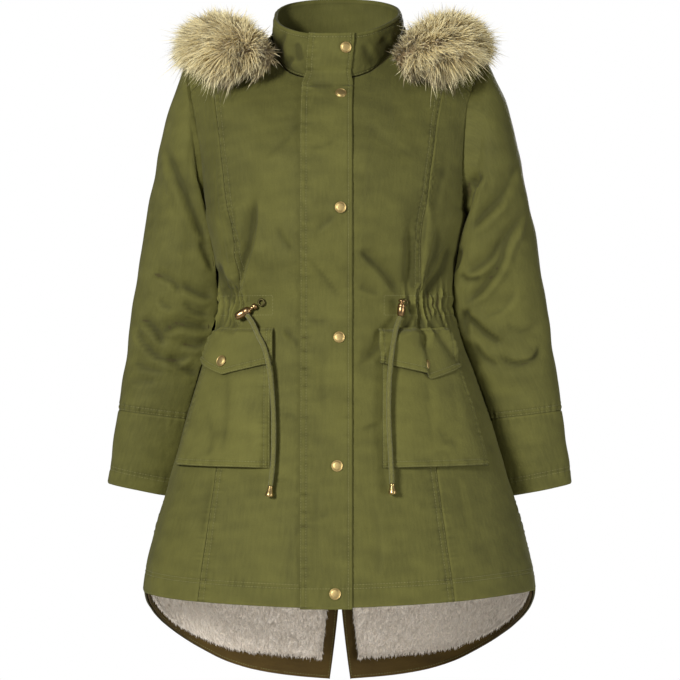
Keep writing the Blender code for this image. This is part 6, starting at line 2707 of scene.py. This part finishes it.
def strands_mesh(name: str, roots: Array, ways: Array, lengths: Array, width: float,
                 colours: Array, droop: float, seed: int) -> Mesh:
    """Many tapered ribbons of hair in one mesh.

    Args:
        name: the mesh's name.
        roots: where they start.
        ways: the way each leaves its root.
        lengths: their lengths.
        width: their width at the root.
        colours: (count, 3, 3) colours at the root, along the hair and at the tip.
        droop: how far they sink and sway, as a share of their length.
        seed: the piece's own number.

    Returns:
        The mesh, with its colours in the attribute "tint".
    """
    draw = np.random.default_rng(seed)
    count = len(roots)
    sway = draw.normal(size=(count, 3)) * STRAND_SWAY + np.array([0.0, 0.0, -STRAND_SINK])
    side = unit(np.cross(ways, draw.normal(size=(count, 3))))
    shares = STRAND_SHARES[None, :, None]
    run = lengths[:, None, None] * shares
    line = roots[:, None, :] + run * (ways[:, None, :] + droop * shares * sway[:, None, :])
    taper = width * (1 - STRAND_TAPER * STRAND_SHARES[:-1] ** 1.5) / 2
    half = side[:, None, :] * taper[None, :, None]
    left, right = line[:, :-1] - half, line[:, :-1] + half
    body = np.stack([left, right], axis=2).reshape(count, -1, 3)
    vertices = np.concatenate([body, line[:, -1:]], axis=1)
    each = vertices.shape[1]
    start = np.arange(count)[:, None] * each
    quads = start + np.array([[0, 1, 3, 2]])
    tips = start + np.array([[each - 3, each - 2, each - 1]])
    mesh = bpy.data.meshes.new(name)
    corners = np.concatenate([quads.ravel(), tips.ravel()]).astype(np.int32)
    sizes = np.concatenate([np.full(len(quads), 4), np.full(len(tips), 3)]).astype(np.int32)
    mesh.vertices.add(count * each)
    mesh.loops.add(len(corners))
    mesh.polygons.add(len(sizes))
    mesh.vertices.foreach_set("co", vertices.astype(np.float32).ravel())
    mesh.loops.foreach_set("vertex_index", corners)
    mesh.polygons.foreach_set("loop_start", np.concatenate([[0], np.cumsum(sizes)[:-1]]).astype(np.int32))
    mesh.update(calc_edges=True)
    mesh.shade_smooth()
    tint = np.repeat(colours[:, :-1], 2, axis=1)
    tint = np.concatenate([tint, colours[:, -1:]], axis=1).reshape(-1, 3)
    tint = np.concatenate([tint, np.ones((len(tint), 1))], axis=1)
    layer = mesh.attributes.new("tint", "FLOAT_COLOR", "POINT")
    layer.data.foreach_set("color", tint.astype(np.float32).ravel())
    return mesh


# ---- the hood and its fur ----
WELD = 0.00001


def mesh_from(bm: bmesh.types.BMesh, name: str) -> Mesh:
    """A smooth mesh of an edited one, which is freed.

    Args:
        bm: the edited mesh.
        name: its name.

    Returns:
        The new mesh.
    """
    mesh = bpy.data.meshes.new(name)
    bm.to_mesh(mesh)
    bm.free()
    mesh.shade_smooth()
    return mesh


@dataclass(frozen=True)
class Hood:
    """The hood laid back behind the collar."""

    seam_x: float = -0.003
    seam_half: float = 0.02
    sunk: float = -0.0016
    raised: float = 0.0008

    CUT = Cut(0.330, 0.420, "draped", ("yoke_left", "yoke_right"))
    RIPPLES = Ripples(seed=41, height=0.0009, shortest=0.040, longest=0.110)

    def dress(self, dressing: "Dressing") -> None:
        """Makes both halves from their solids, rounded and with soft waves in them.

        Args:
            dressing: the finishes and the stitching.
        """
        for side in Side:
            node = f"hood_{side.word}"
            bm = bmesh.new()
            bm.from_mesh(frame["nodes"][node].data)
            bmesh.ops.remove_doubles(bm, verts=bm.verts, dist=WELD)
            bmesh.ops.join_triangles(bm, faces=bm.faces, angle_face_threshold=0.8, angle_shape_threshold=1.2)
            bmesh.ops.subdivide_edges(bm, edges=bm.edges, cuts=1, use_grid_fill=True, smooth=0.0)
            bm.normal_update()
            points = np.array([vertex.co for vertex in bm.verts])
            seam = smooth(np.abs(points[:, 0] - self.seam_x) / self.seam_half)
            for vertex, rise in zip(bm.verts, self.RIPPLES.at(points) * seam):
                vertex.co += vertex.normal * float(np.clip(rise, self.sunk, self.raised))
            mesh = mesh_from(bm, node)
            mesh.set_sharp_from_angle(angle=SHARP_ANGLE)
            made = link(f"{node}_cloth", mesh, [dressing.finishes.draped])
            finish_piece(made, "shell", node)


@dataclass
class Fur:
    """The long fur along the hood's edge: three pieces, each a dark core with hair on it."""

    shift: float = 0.008
    middle_x: float = -0.003
    skin_share: float = 0.70
    count: int = 27000
    width: float = 0.0013
    over: float = 0.007
    jitter: float = 0.24
    lean: float = 0.52
    droop: float = 0.34
    clear: float = 0.0010
    guards: float = 0.13
    guard_over: float = 0.40
    guard_y: float = 0.06
    inner_x: float = 0.125
    inner_soft: float = 0.04
    inner_depth: float = 0.05
    below_from: float = 0.25
    dark_all: float = 0.10
    dark_below: float = 0.62
    dark_inner: float = 0.45
    dark_patch: float = 0.09
    dark_tip: float = 0.60
    pale_tip: float = 0.25
    top_shrink: float = 0.24
    shortest: float = 0.002
    sunk: float = 0.96
    length: float = 1.25
    clumps: float = 130
    first_seed: int = 101

    PIECES = ("fur_right", "fur_back", "fur_left")
    SOLIDS_AROUND = ("front", "side", "back", "yoke", "collar", "hood", "sleeve", "placket")
    # the middle line from the wearer's left to the back
    LINE = (
        (0.094, -0.082, -0.042), (0.115, -0.090, -0.028), (0.140, -0.082, -0.022), (0.161, -0.046, -0.015),
        (0.172, 0.012, -0.010), (0.171, 0.070, -0.012), (0.154, 0.124, -0.022), (0.120, 0.158, -0.036),
        (0.070, 0.172, -0.044), (0.000, 0.178, -0.046),
    )
    PATCH_WAYS = ((95.0, 60.0, 80.0), (-60.0, 110.0, 75.0))
    HANG = (0.0, -0.10, -0.18)
    OUTWARDS = (0.30, 0.0, 0.045)
    ROOT = np.array((0.36, 0.28, 0.15))
    MIDDLE = np.array((0.82, 0.67, 0.32))
    PALE = np.array((0.98, 0.91, 0.60))
    DARK = np.array((0.085, 0.065, 0.055))

    def __post_init__(self) -> None:
        """Finds the middle line, from the wearer's right over the back to the left."""
        right = [(-x - self.shift, y, z) for x, y, z in self.LINE]
        left = [(x - self.shift, y, z) for x, y, z in self.LINE[-2::-1]]
        line = np.array(right + left)
        line[len(self.LINE) - 1, 0] = self.middle_x
        self.line = catmull(line, 240)

    def nearest(self, points: Array) -> Array:
        """The middle line's place nearest to each point.

        Args:
            points: places in metres.

        Returns:
            Points of the line.
        """
        away = np.linalg.norm(points[:, None, :] - self.line[None], axis=2)
        k = away.argmin(axis=1)
        return self.line[k]

    def skin(self, node: str, finishes: Finishes) -> None:
        """Makes the skin that the hair grows from: the solid drawn in towards its middle line.

        Args:
            node: the CAD node.
            finishes: the materials.
        """
        bm = bmesh.new()
        bm.from_mesh(frame["nodes"][node].data)
        points = np.array([vertex.co for vertex in bm.verts])
        middle = self.nearest(points)
        for vertex, point in zip(bm.verts, middle + (points - middle) * self.skin_share):
            vertex.co = point
        made = link(f"{node}_skin", mesh_from(bm, node), [finishes.fur_skin])
        finish_piece(made, "fur", node)

    def strands(self, node: str, around: BVHTree, seed: int) -> Mesh:
        """The hair of one piece, kept clear of what is around it.

        Args:
            node: the CAD node.
            around: the solids around it.
            seed: the piece's own number.

        Returns:
            The hair.
        """
        draw = np.random.default_rng(seed)
        data = frame["nodes"][node].data
        data.calc_loop_triangles()
        corners = np.array([[data.vertices[i].co for i in tri.vertices] for tri in data.loop_triangles])
        areas = np.linalg.norm(np.cross(corners[:, 1] - corners[:, 0], corners[:, 2] - corners[:, 0]), axis=1)
        pick = draw.choice(len(corners), size=self.count, p=areas / areas.sum())
        first, second, third = corners[pick].swapaxes(0, 1)
        a, b = draw.random((2, self.count, 1))
        flipped = a + b > 1
        a, b = np.where(flipped, 1 - a, a), np.where(flipped, 1 - b, b)
        surface = first + a * (second - first) + b * (third - first)
        middle = self.nearest(surface)
        radial = surface - middle
        reach = np.linalg.norm(radial, axis=1, keepdims=True)
        radial /= np.maximum(reach, 1e-6)
        roots = middle + radial * reach * self.skin_share * self.sunk
        waves = draw.normal(size=(3, 3))
        clump = np.stack([np.sin(surface @ way * self.clumps + k) for k, way in enumerate(waves)], -1)
        ways = radial + self.lean * clump + self.jitter * draw.normal(size=radial.shape)
        outwards = np.sign(surface[:, :1] + self.shift)
        ways = unit(ways + np.array(self.HANG) + outwards * np.array(self.OUTWARDS))
        lengths = reach[:, 0] * (1 - self.skin_share) + self.over
        lengths *= draw.uniform(0.60, 1.35, self.count) * self.length
        guard = draw.random(self.count) < self.guards
        lengths *= 1 + self.guard_over * guard * smooth(1 - surface[:, 1] / self.guard_y)
        lengths *= 1 - self.top_shrink * smooth(radial[:, 2])
        for k, (root, way) in enumerate(zip(roots, ways)):
            hit = around.ray_cast(Vector(root), Vector(way), lengths[k] + self.clear)
            if hit[0] is not None:
                lengths[k] = max(hit[3] - self.clear, self.shortest)
        colours = self.colours(surface, radial, draw)
        return strands_mesh(f"{node}_hair", roots, ways, lengths, self.width, colours, self.droop, seed)

    def colours(self, surface: Array, radial: Array, draw: np.random.Generator) -> Array:
        """Colours along each hair: golden, with pale tips above and dark ones below and beside the collar.

        Args:
            surface: where each hair grows.
            radial: ways out of the middle line.
            draw: the piece's random numbers.

        Returns:
            (count, 3, 3) colours.
        """
        first, second = (surface @ np.array(way) for way in self.PATCH_WAYS)
        patch = np.sin(first) + np.sin(second + 2)
        inner = smooth((self.inner_x - np.abs(surface[:, 0] + self.shift)) / self.inner_soft)
        inner = inner * smooth(-surface[:, 1] / self.inner_depth)
        below = smooth(-radial[:, 2] - self.below_from)
        chance = self.dark_all + self.dark_below * below + self.dark_inner * inner + self.dark_patch * patch
        is_dark = (draw.random(len(surface)) < chance)[:, None]
        scale = draw.uniform(0.80, 1.18, (len(surface), 1))
        tip = np.where(is_dark, self.DARK, self.PALE)
        dark_middle = (1 - self.dark_tip) * self.MIDDLE + self.dark_tip * self.DARK
        pale_middle = (1 - self.pale_tip) * self.MIDDLE + self.pale_tip * self.PALE
        middle = np.where(is_dark, dark_middle, pale_middle)
        return np.stack([self.ROOT * scale, middle * scale, tip * scale], 1)

    def dress(self, dressing: "Dressing") -> None:
        """Makes the three pieces.

        Args:
            dressing: the finishes and the stitching.
        """
        around = tree_of([name for name in frame["nodes"] if name.startswith(self.SOLIDS_AROUND)])
        for seed, node in enumerate(self.PIECES, self.first_seed):
            self.skin(node, dressing.finishes)
            mesh = self.strands(node, around, seed)
            finish_piece(link(f"{node}_hair", mesh, [dressing.finishes.fur]), "fur")


def tree_of(nodes: list[str]) -> BVHTree:
    """A search tree over the triangles of some CAD nodes.

    Args:
        nodes: the CAD nodes.

    Returns:
        The tree.
    """
    points, faces = [], []
    for node in nodes:
        data = frame["nodes"][node].data
        data.calc_loop_triangles()
        start = len(points)
        points += [vertex.co.copy() for vertex in data.vertices]
        faces += [tuple(start + k for k in tri.vertices) for tri in data.loop_triangles]
    return BVHTree.FromPolygons(points, faces)


# ---- hardware ----
class Turned(Enum):
    """Turned profiles from the top down, as radius and height in hundredths of a mm by turns."""

    SNAP = (
        0, 260, 200, 258, 380, 248, 500, 230, 580, 200, 620, 160, 640, 150, 660, 165, 710, 185, 750, 170,
        790, 120, 800, 60, 790, 0, 0, 0,
    )
    EYELET = (
        300, -60, 300, 100, 340, 140, 420, 160, 500, 130, 560, 80, 580, 0, 520, -20, 300, -60,
    )
    LOCK = (
        0, 3400, 160, 3390, 300, 3360, 400, 3280, 440, 3160, 440, 2940, 400, 2860, 280, 2770, 260, 2700,
        260, 2400, 300, 2340, 440, 2260, 530, 2080, 580, 1880, 600, 1640, 580, 1600, 580, 1520, 600, 1480,
        600, 1100, 570, 600, 500, 240, 340, 40, 0, 0,
    )
    SHORT_LOCK = (
        0, 2400, 180, 2390, 360, 2360, 480, 2290, 520, 2200, 520, 2080, 460, 2020, 300, 1970, 280, 1900,
        300, 1830, 440, 1770, 510, 1660, 540, 1500, 550, 1320, 530, 1290, 530, 1220, 550, 1190, 550, 700,
        510, 260, 420, 90, 300, 20, 0, 0,
    )
    BELL = (
        0, 1500, 180, 1500, 300, 1480, 350, 1410, 360, 1280, 330, 1220, 330, 1140, 360, 1080, 380, 920,
        450, 700, 520, 460, 560, 260, 560, 160, 510, 70, 420, 20, 300, 0, 260, 80, 0, 100,
    )

    def rows(self) -> Array:
        """The profile as (radius, height) rows in metres."""
        return np.array(self.value).reshape(-1, 2) / 100000


@dataclass(frozen=True)
class Fitting:
    """A metal fitting: its node, its profile, roughly which way its top faces, and its finish."""

    node: str
    profile: Turned
    hint: tuple[float, float, float]
    metal: str

    @property
    def flat(self) -> bool:
        """Whether it is wider than tall."""
        return self.profile in (Turned.SNAP, Turned.EYELET)


AHEAD, UP = (0.0, -1.0, 0.0), (0.0, 0.0, 1.0)
FITTINGS = [
    *(Fitting(f"snap_{k}", Turned.SNAP, AHEAD, "snap") for k in range(1, 7)),
    *(Fitting(f"flap_snap_{side.word}", Turned.SNAP, AHEAD, "snap") for side in Side),
    *(Fitting(f"eyelet_{side.word}", Turned.EYELET, AHEAD, "eyelet") for side in Side),
    Fitting("toggle_right", Turned.LOCK, (0.86, -0.06, 0.50), "lock"),
    Fitting("toggle_left", Turned.SHORT_LOCK, (0.10, -0.10, 0.98), "lock"),
    *(Fitting(f"bell_{side.word}", Turned.BELL, UP, "bell") for side in Side),
]


class Hardware:
    """The snaps, eyelets, cord locks and bell ends."""

    STEPS = 40
    TURNED_SNAP = "flap_snap_left"
    SNAP_SHIFT = (-0.0080, -0.0020, -0.0060)
    SNAP_WAY = (0.88, -0.46, 0.10)

    @staticmethod
    def place(fitting: Fitting) -> tuple[Vector, Vector]:
        """Where a fitting's foot is and which way it points, from its solid.

        Args:
            fitting: the fitting.

        Returns:
            The foot and the axis.
        """
        points = np.array([vertex.co for vertex in frame["nodes"][fitting.node].data.vertices])
        points = np.unique(np.round(points, 6), axis=0)
        middle = (points.min(axis=0) + points.max(axis=0)) / 2
        _, _, ways = np.linalg.svd(points - points.mean(axis=0))
        axis = ways[-1] if fitting.flat else ways[0]
        if axis @ np.array(fitting.hint) < 0:
            axis = -axis
        along = (points - middle) @ axis
        spoke = (points - middle) - along[:, None] * axis
        low, high = along.min(), along.max()
        ring = spoke[along < low + 0.1 * (high - low)] if fitting.flat else spoke
        centre = middle + (ring.min(axis=0) + ring.max(axis=0)) / 2
        return Vector(centre + axis * low), Vector(axis)

    def mesh(self, fitting: Fitting) -> Mesh:
        """The fitting turned around its axis.

        Args:
            fitting: the fitting.

        Returns:
            The mesh.
        """
        foot, axis = self.place(fitting)
        if fitting.node == self.TURNED_SNAP:
            foot, axis = foot + Vector(self.SNAP_SHIFT), Vector(self.SNAP_WAY).normalized()
        profile = fitting.profile.rows()
        turn = circle(self.STEPS)
        rings = np.stack([np.outer(profile[:, 0], np.cos(turn)), np.outer(profile[:, 0], np.sin(turn)),
                          np.repeat(profile[:, 1:], self.STEPS, axis=1)], axis=-1)
        spin = Vector((0, 0, 1)).rotation_difference(axis)
        matrix = np.array(spin.to_matrix())
        points = rings.reshape(-1, 3) @ matrix.T + np.array(foot)
        mesh = faced_out(mesh_of(fitting.node, points, grid_quads(len(profile), self.STEPS, True)), WELD)
        mesh.set_sharp_from_angle(angle=math.radians(55))
        return mesh

    def dress(self, dressing: "Dressing") -> None:
        """Makes the fittings.

        Args:
            dressing: the finishes and the stitching.
        """
        for fitting in FITTINGS:
            metal = getattr(dressing.finishes, fitting.metal)
            slot = "snap" if fitting.profile is Turned.SNAP else "hardware"
            finish_piece(link(f"{fitting.node}_metal", self.mesh(fitting), [metal]), slot, fitting.node)


# ---- cords ----
# x, z and how far the cord lies off the body, from the lock down
CORD_ROUTES = {
    RIGHT: (
        (-0.1235, -0.3935, 0.0103), (-0.1180, -0.4010, 0.0108), (-0.1130, -0.4095, 0.0128),
        (-0.1070, -0.4240, 0.0150), (-0.1000, -0.4380, 0.0156), (-0.0965, -0.4520, 0.0154),
        (-0.0935, -0.4660, 0.0150), (-0.0915, -0.4830, 0.0138), (-0.0900, -0.5030, 0.0118),
        (-0.0890, -0.5250, 0.0103), (-0.0885, -0.5450, 0.0098), (-0.0885, -0.5650, 0.0098),
        (-0.0890, -0.5830, 0.0098), (-0.0903, -0.6050, 0.0098), (-0.0930, -0.6255, 0.0093),
    ),
    LEFT: (
        (0.0795, -0.3960, 0.0103), (0.0765, -0.4030, 0.0118), (0.0730, -0.4120, 0.0143),
        (0.0700, -0.4260, 0.0156), (0.0672, -0.4420, 0.0156), (0.0655, -0.4600, 0.0152),
        (0.0642, -0.4770, 0.0143), (0.0636, -0.4940, 0.0138), (0.0632, -0.5150, 0.0136),
        (0.0634, -0.5350, 0.0136), (0.0642, -0.5550, 0.0136), (0.0654, -0.5750, 0.0136),
        (0.0666, -0.5970, 0.0128), (0.0684, -0.6225, 0.0108),
    ),
}


@dataclass(frozen=True)
class Cords:
    """The two hanging ends of the waist's drawcord."""

    thick: float = 0.0068
    around: int = 20
    along_step: float = 0.0011
    pitch: float = 0.0090
    strands: int = 4
    relief: float = 0.00042

    @staticmethod
    def path(side: Side) -> Array:
        """The middle line of one end, which follows its route over the front.

        Args:
            side: the wearer's side.

        Returns:
            Rows of points.
        """
        points = []
        for x, z, lift in CORD_ROUTES[side]:
            point, normal = BODY.place_xz(x, z)
            deep = float(large_depth(FRONT, point[0], point[2])[1])
            points.append(point - normal * (deep - lift))
        return catmull(np.array(points), 25)

    def mesh(self, path: Array, name: str) -> Mesh:
        """A tube along the path whose strands wind both ways.

        Args:
            path: the cord's middle line.
            name: its name.

        Returns:
            The mesh.
        """
        length = arc_lengths(path[None], 1)[0]
        count = int(length[-1] / self.along_step)
        at = np.linspace(0, length[-1], count)
        line = along(path, length, at)
        kernel = np.ones(9) / 9
        evened = [np.convolve(line[:, k], kernel, "valid") for k in range(3)]
        line[4:-4] = np.stack(evened, -1)
        way = unit(np.gradient(line, axis=0))
        side = unit(np.cross(way, np.array([0.0, -1.0, 0.0])))
        front = np.cross(side, way)
        turn = circle(self.around)
        wind = 2 * math.pi * at[:, None] / self.pitch
        braid = np.maximum(np.sin(self.strands * turn + wind), np.sin(self.strands * turn - wind + 0.8))
        radius = self.thick / 2 - self.relief * (1 - braid) / 2
        rings = line[:, None] + radius[..., None] * (side[:, None] * np.cos(turn)[None, :, None]
                                                     + front[:, None] * np.sin(turn)[None, :, None])
        points = np.concatenate([rings.reshape(-1, 3), line[:1], line[-1:]])
        quads = grid_quads(count, self.around, True)
        ring = np.arange(self.around)
        foot = [[len(points) - 2, (k + 1) % self.around, k] for k in ring]
        last = (count - 1) * self.around
        head = [[len(points) - 1, last + k, last + (k + 1) % self.around] for k in ring]
        return faced_out(mesh_of(name, points, list(quads) + foot + head))

    def dress(self, dressing: "Dressing") -> None:
        """Makes both ends.

        Args:
            dressing: the finishes and the stitching.
        """
        for side in Side:
            name = f"cord_{side.word}"
            path = self.path(side)
            made = link(f"{name}_braid", self.mesh(path, name), [dressing.finishes.cord])
            finish_piece(made, "cord", name)


# ---- stitching ----
@dataclass
class Threads:
    """Collects the rows of stitching and makes them all as one piece."""

    pitch: float = 0.0040
    length: float = 0.0031
    half_width: float = 0.00042
    height: float = 0.00040
    sink: float = 0.00015
    points: list[Array] = field(default_factory=list)

    SHAPE = ((-0.5, 0.0, 0.0), (-0.32, 0.8, 0.55), (0.32, 0.8, 0.55), (0.5, 0.0, 0.0), (0.32, -0.8, 0.55),
             (-0.32, -0.8, 0.55), (-0.30, 0.0, 1.0), (0.30, 0.0, 1.0))
    FACES = ((0, 6, 1), (1, 6, 7, 2), (2, 7, 3), (3, 7, 4), (4, 7, 6, 5), (5, 6, 0))

    def follow_rows(self, cloth: Cloth) -> None:
        """Stitches all rows of a cloth piece."""
        for edge, metres in cloth.rows:
            self.follow(*cloth.beside(edge, metres))

    def cross(self, tree: BVHTree, way: int, corners: tuple[tuple[float, float], ...]) -> None:
        """Stitches straight rows across the body.

        Args:
            tree: the body's panels.
            way: -1 for the front, 1 for the back.
            corners: (x, z) of the rows' ends.
        """
        for (x, z), (to_x, to_z) in zip(corners, corners[1:]):
            count = 2 + int(math.hypot(to_x - x, to_z - z) / 0.002)
            places = np.linspace((x, z), (to_x, to_z), count)
            hits = [tree.ray_cast(Vector((a, way, b)), Vector((0, -way, 0))) for a, b in places]
            line = np.array([hit[0] for hit in hits if hit[0] is not None])
            normals = np.array([hit[1] for hit in hits if hit[0] is not None])
            if len(line) > 1:
                self.follow(line, normals * np.sign(normals[:, 1:2] * way))

    def follow(self, line: Array, normals: Array) -> None:
        """Stitches along a line.

        Args:
            line: its points.
            normals: the cloth's normals there.
        """
        length = np.concatenate([[0.0], np.cumsum(np.linalg.norm(np.diff(line, axis=0), axis=1))])
        count = int(length[-1] / self.pitch)
        if count < 1:
            return
        at = (np.arange(count) + 0.5) * length[-1] / count
        middle, ahead, behind = (along(line, length, at + off) for off in (0.0, 0.001, -0.001))
        up = unit(along(normals, length, at))
        way = ahead - behind
        way /= np.maximum(np.linalg.norm(way, axis=1, keepdims=True), 1e-9)
        side = np.cross(up, way)
        shape = np.array(self.SHAPE)
        stitch = (way[:, None] * (shape[None, :, :1] * self.length)
                  + side[:, None] * (shape[None, :, 1:2] * self.half_width)
                  + up[:, None] * (shape[None, :, 2:] * self.height - self.sink))
        self.points.append(middle[:, None] + stitch)

    def dress(self, finishes: Finishes) -> None:
        """Makes the stitching.

        Args:
            finishes: the materials.
        """
        points = np.concatenate(self.points)
        start = len(self.SHAPE) * np.arange(len(points))
        faces = [[first + k for k in face] for first in start for face in self.FACES]
        mesh = mesh_of("stitching", points.reshape(-1, 3), faces)
        finish_piece(link("stitching", mesh, [finishes.thread]), "shell")
        LOG.info("%d stitches", len(points))


@dataclass(frozen=True)
class Dressing:
    """What the sub-assemblies share: the finishes and the stitching."""

    finishes: Finishes
    threads: Threads


def main() -> None:
    """Builds the parka piece by piece."""
    logging.basicConfig(level=logging.INFO, format="%(message)s")
    studio = Studio()
    studio.camera()
    dressing = Dressing(Finishes(), Threads())
    collar = Collar()
    parts = (Hardware(), Cords(), BodyPanels(), Yokes(), collar, Placket(collar), Sleeves(), Pockets(),
             Lining(), Hood(), Fur())
    for part in parts:
        part.dress(dressing)
    dressing.threads.dress(dressing.finishes)
    studio.build()


if __name__ == "__main__":
    main()
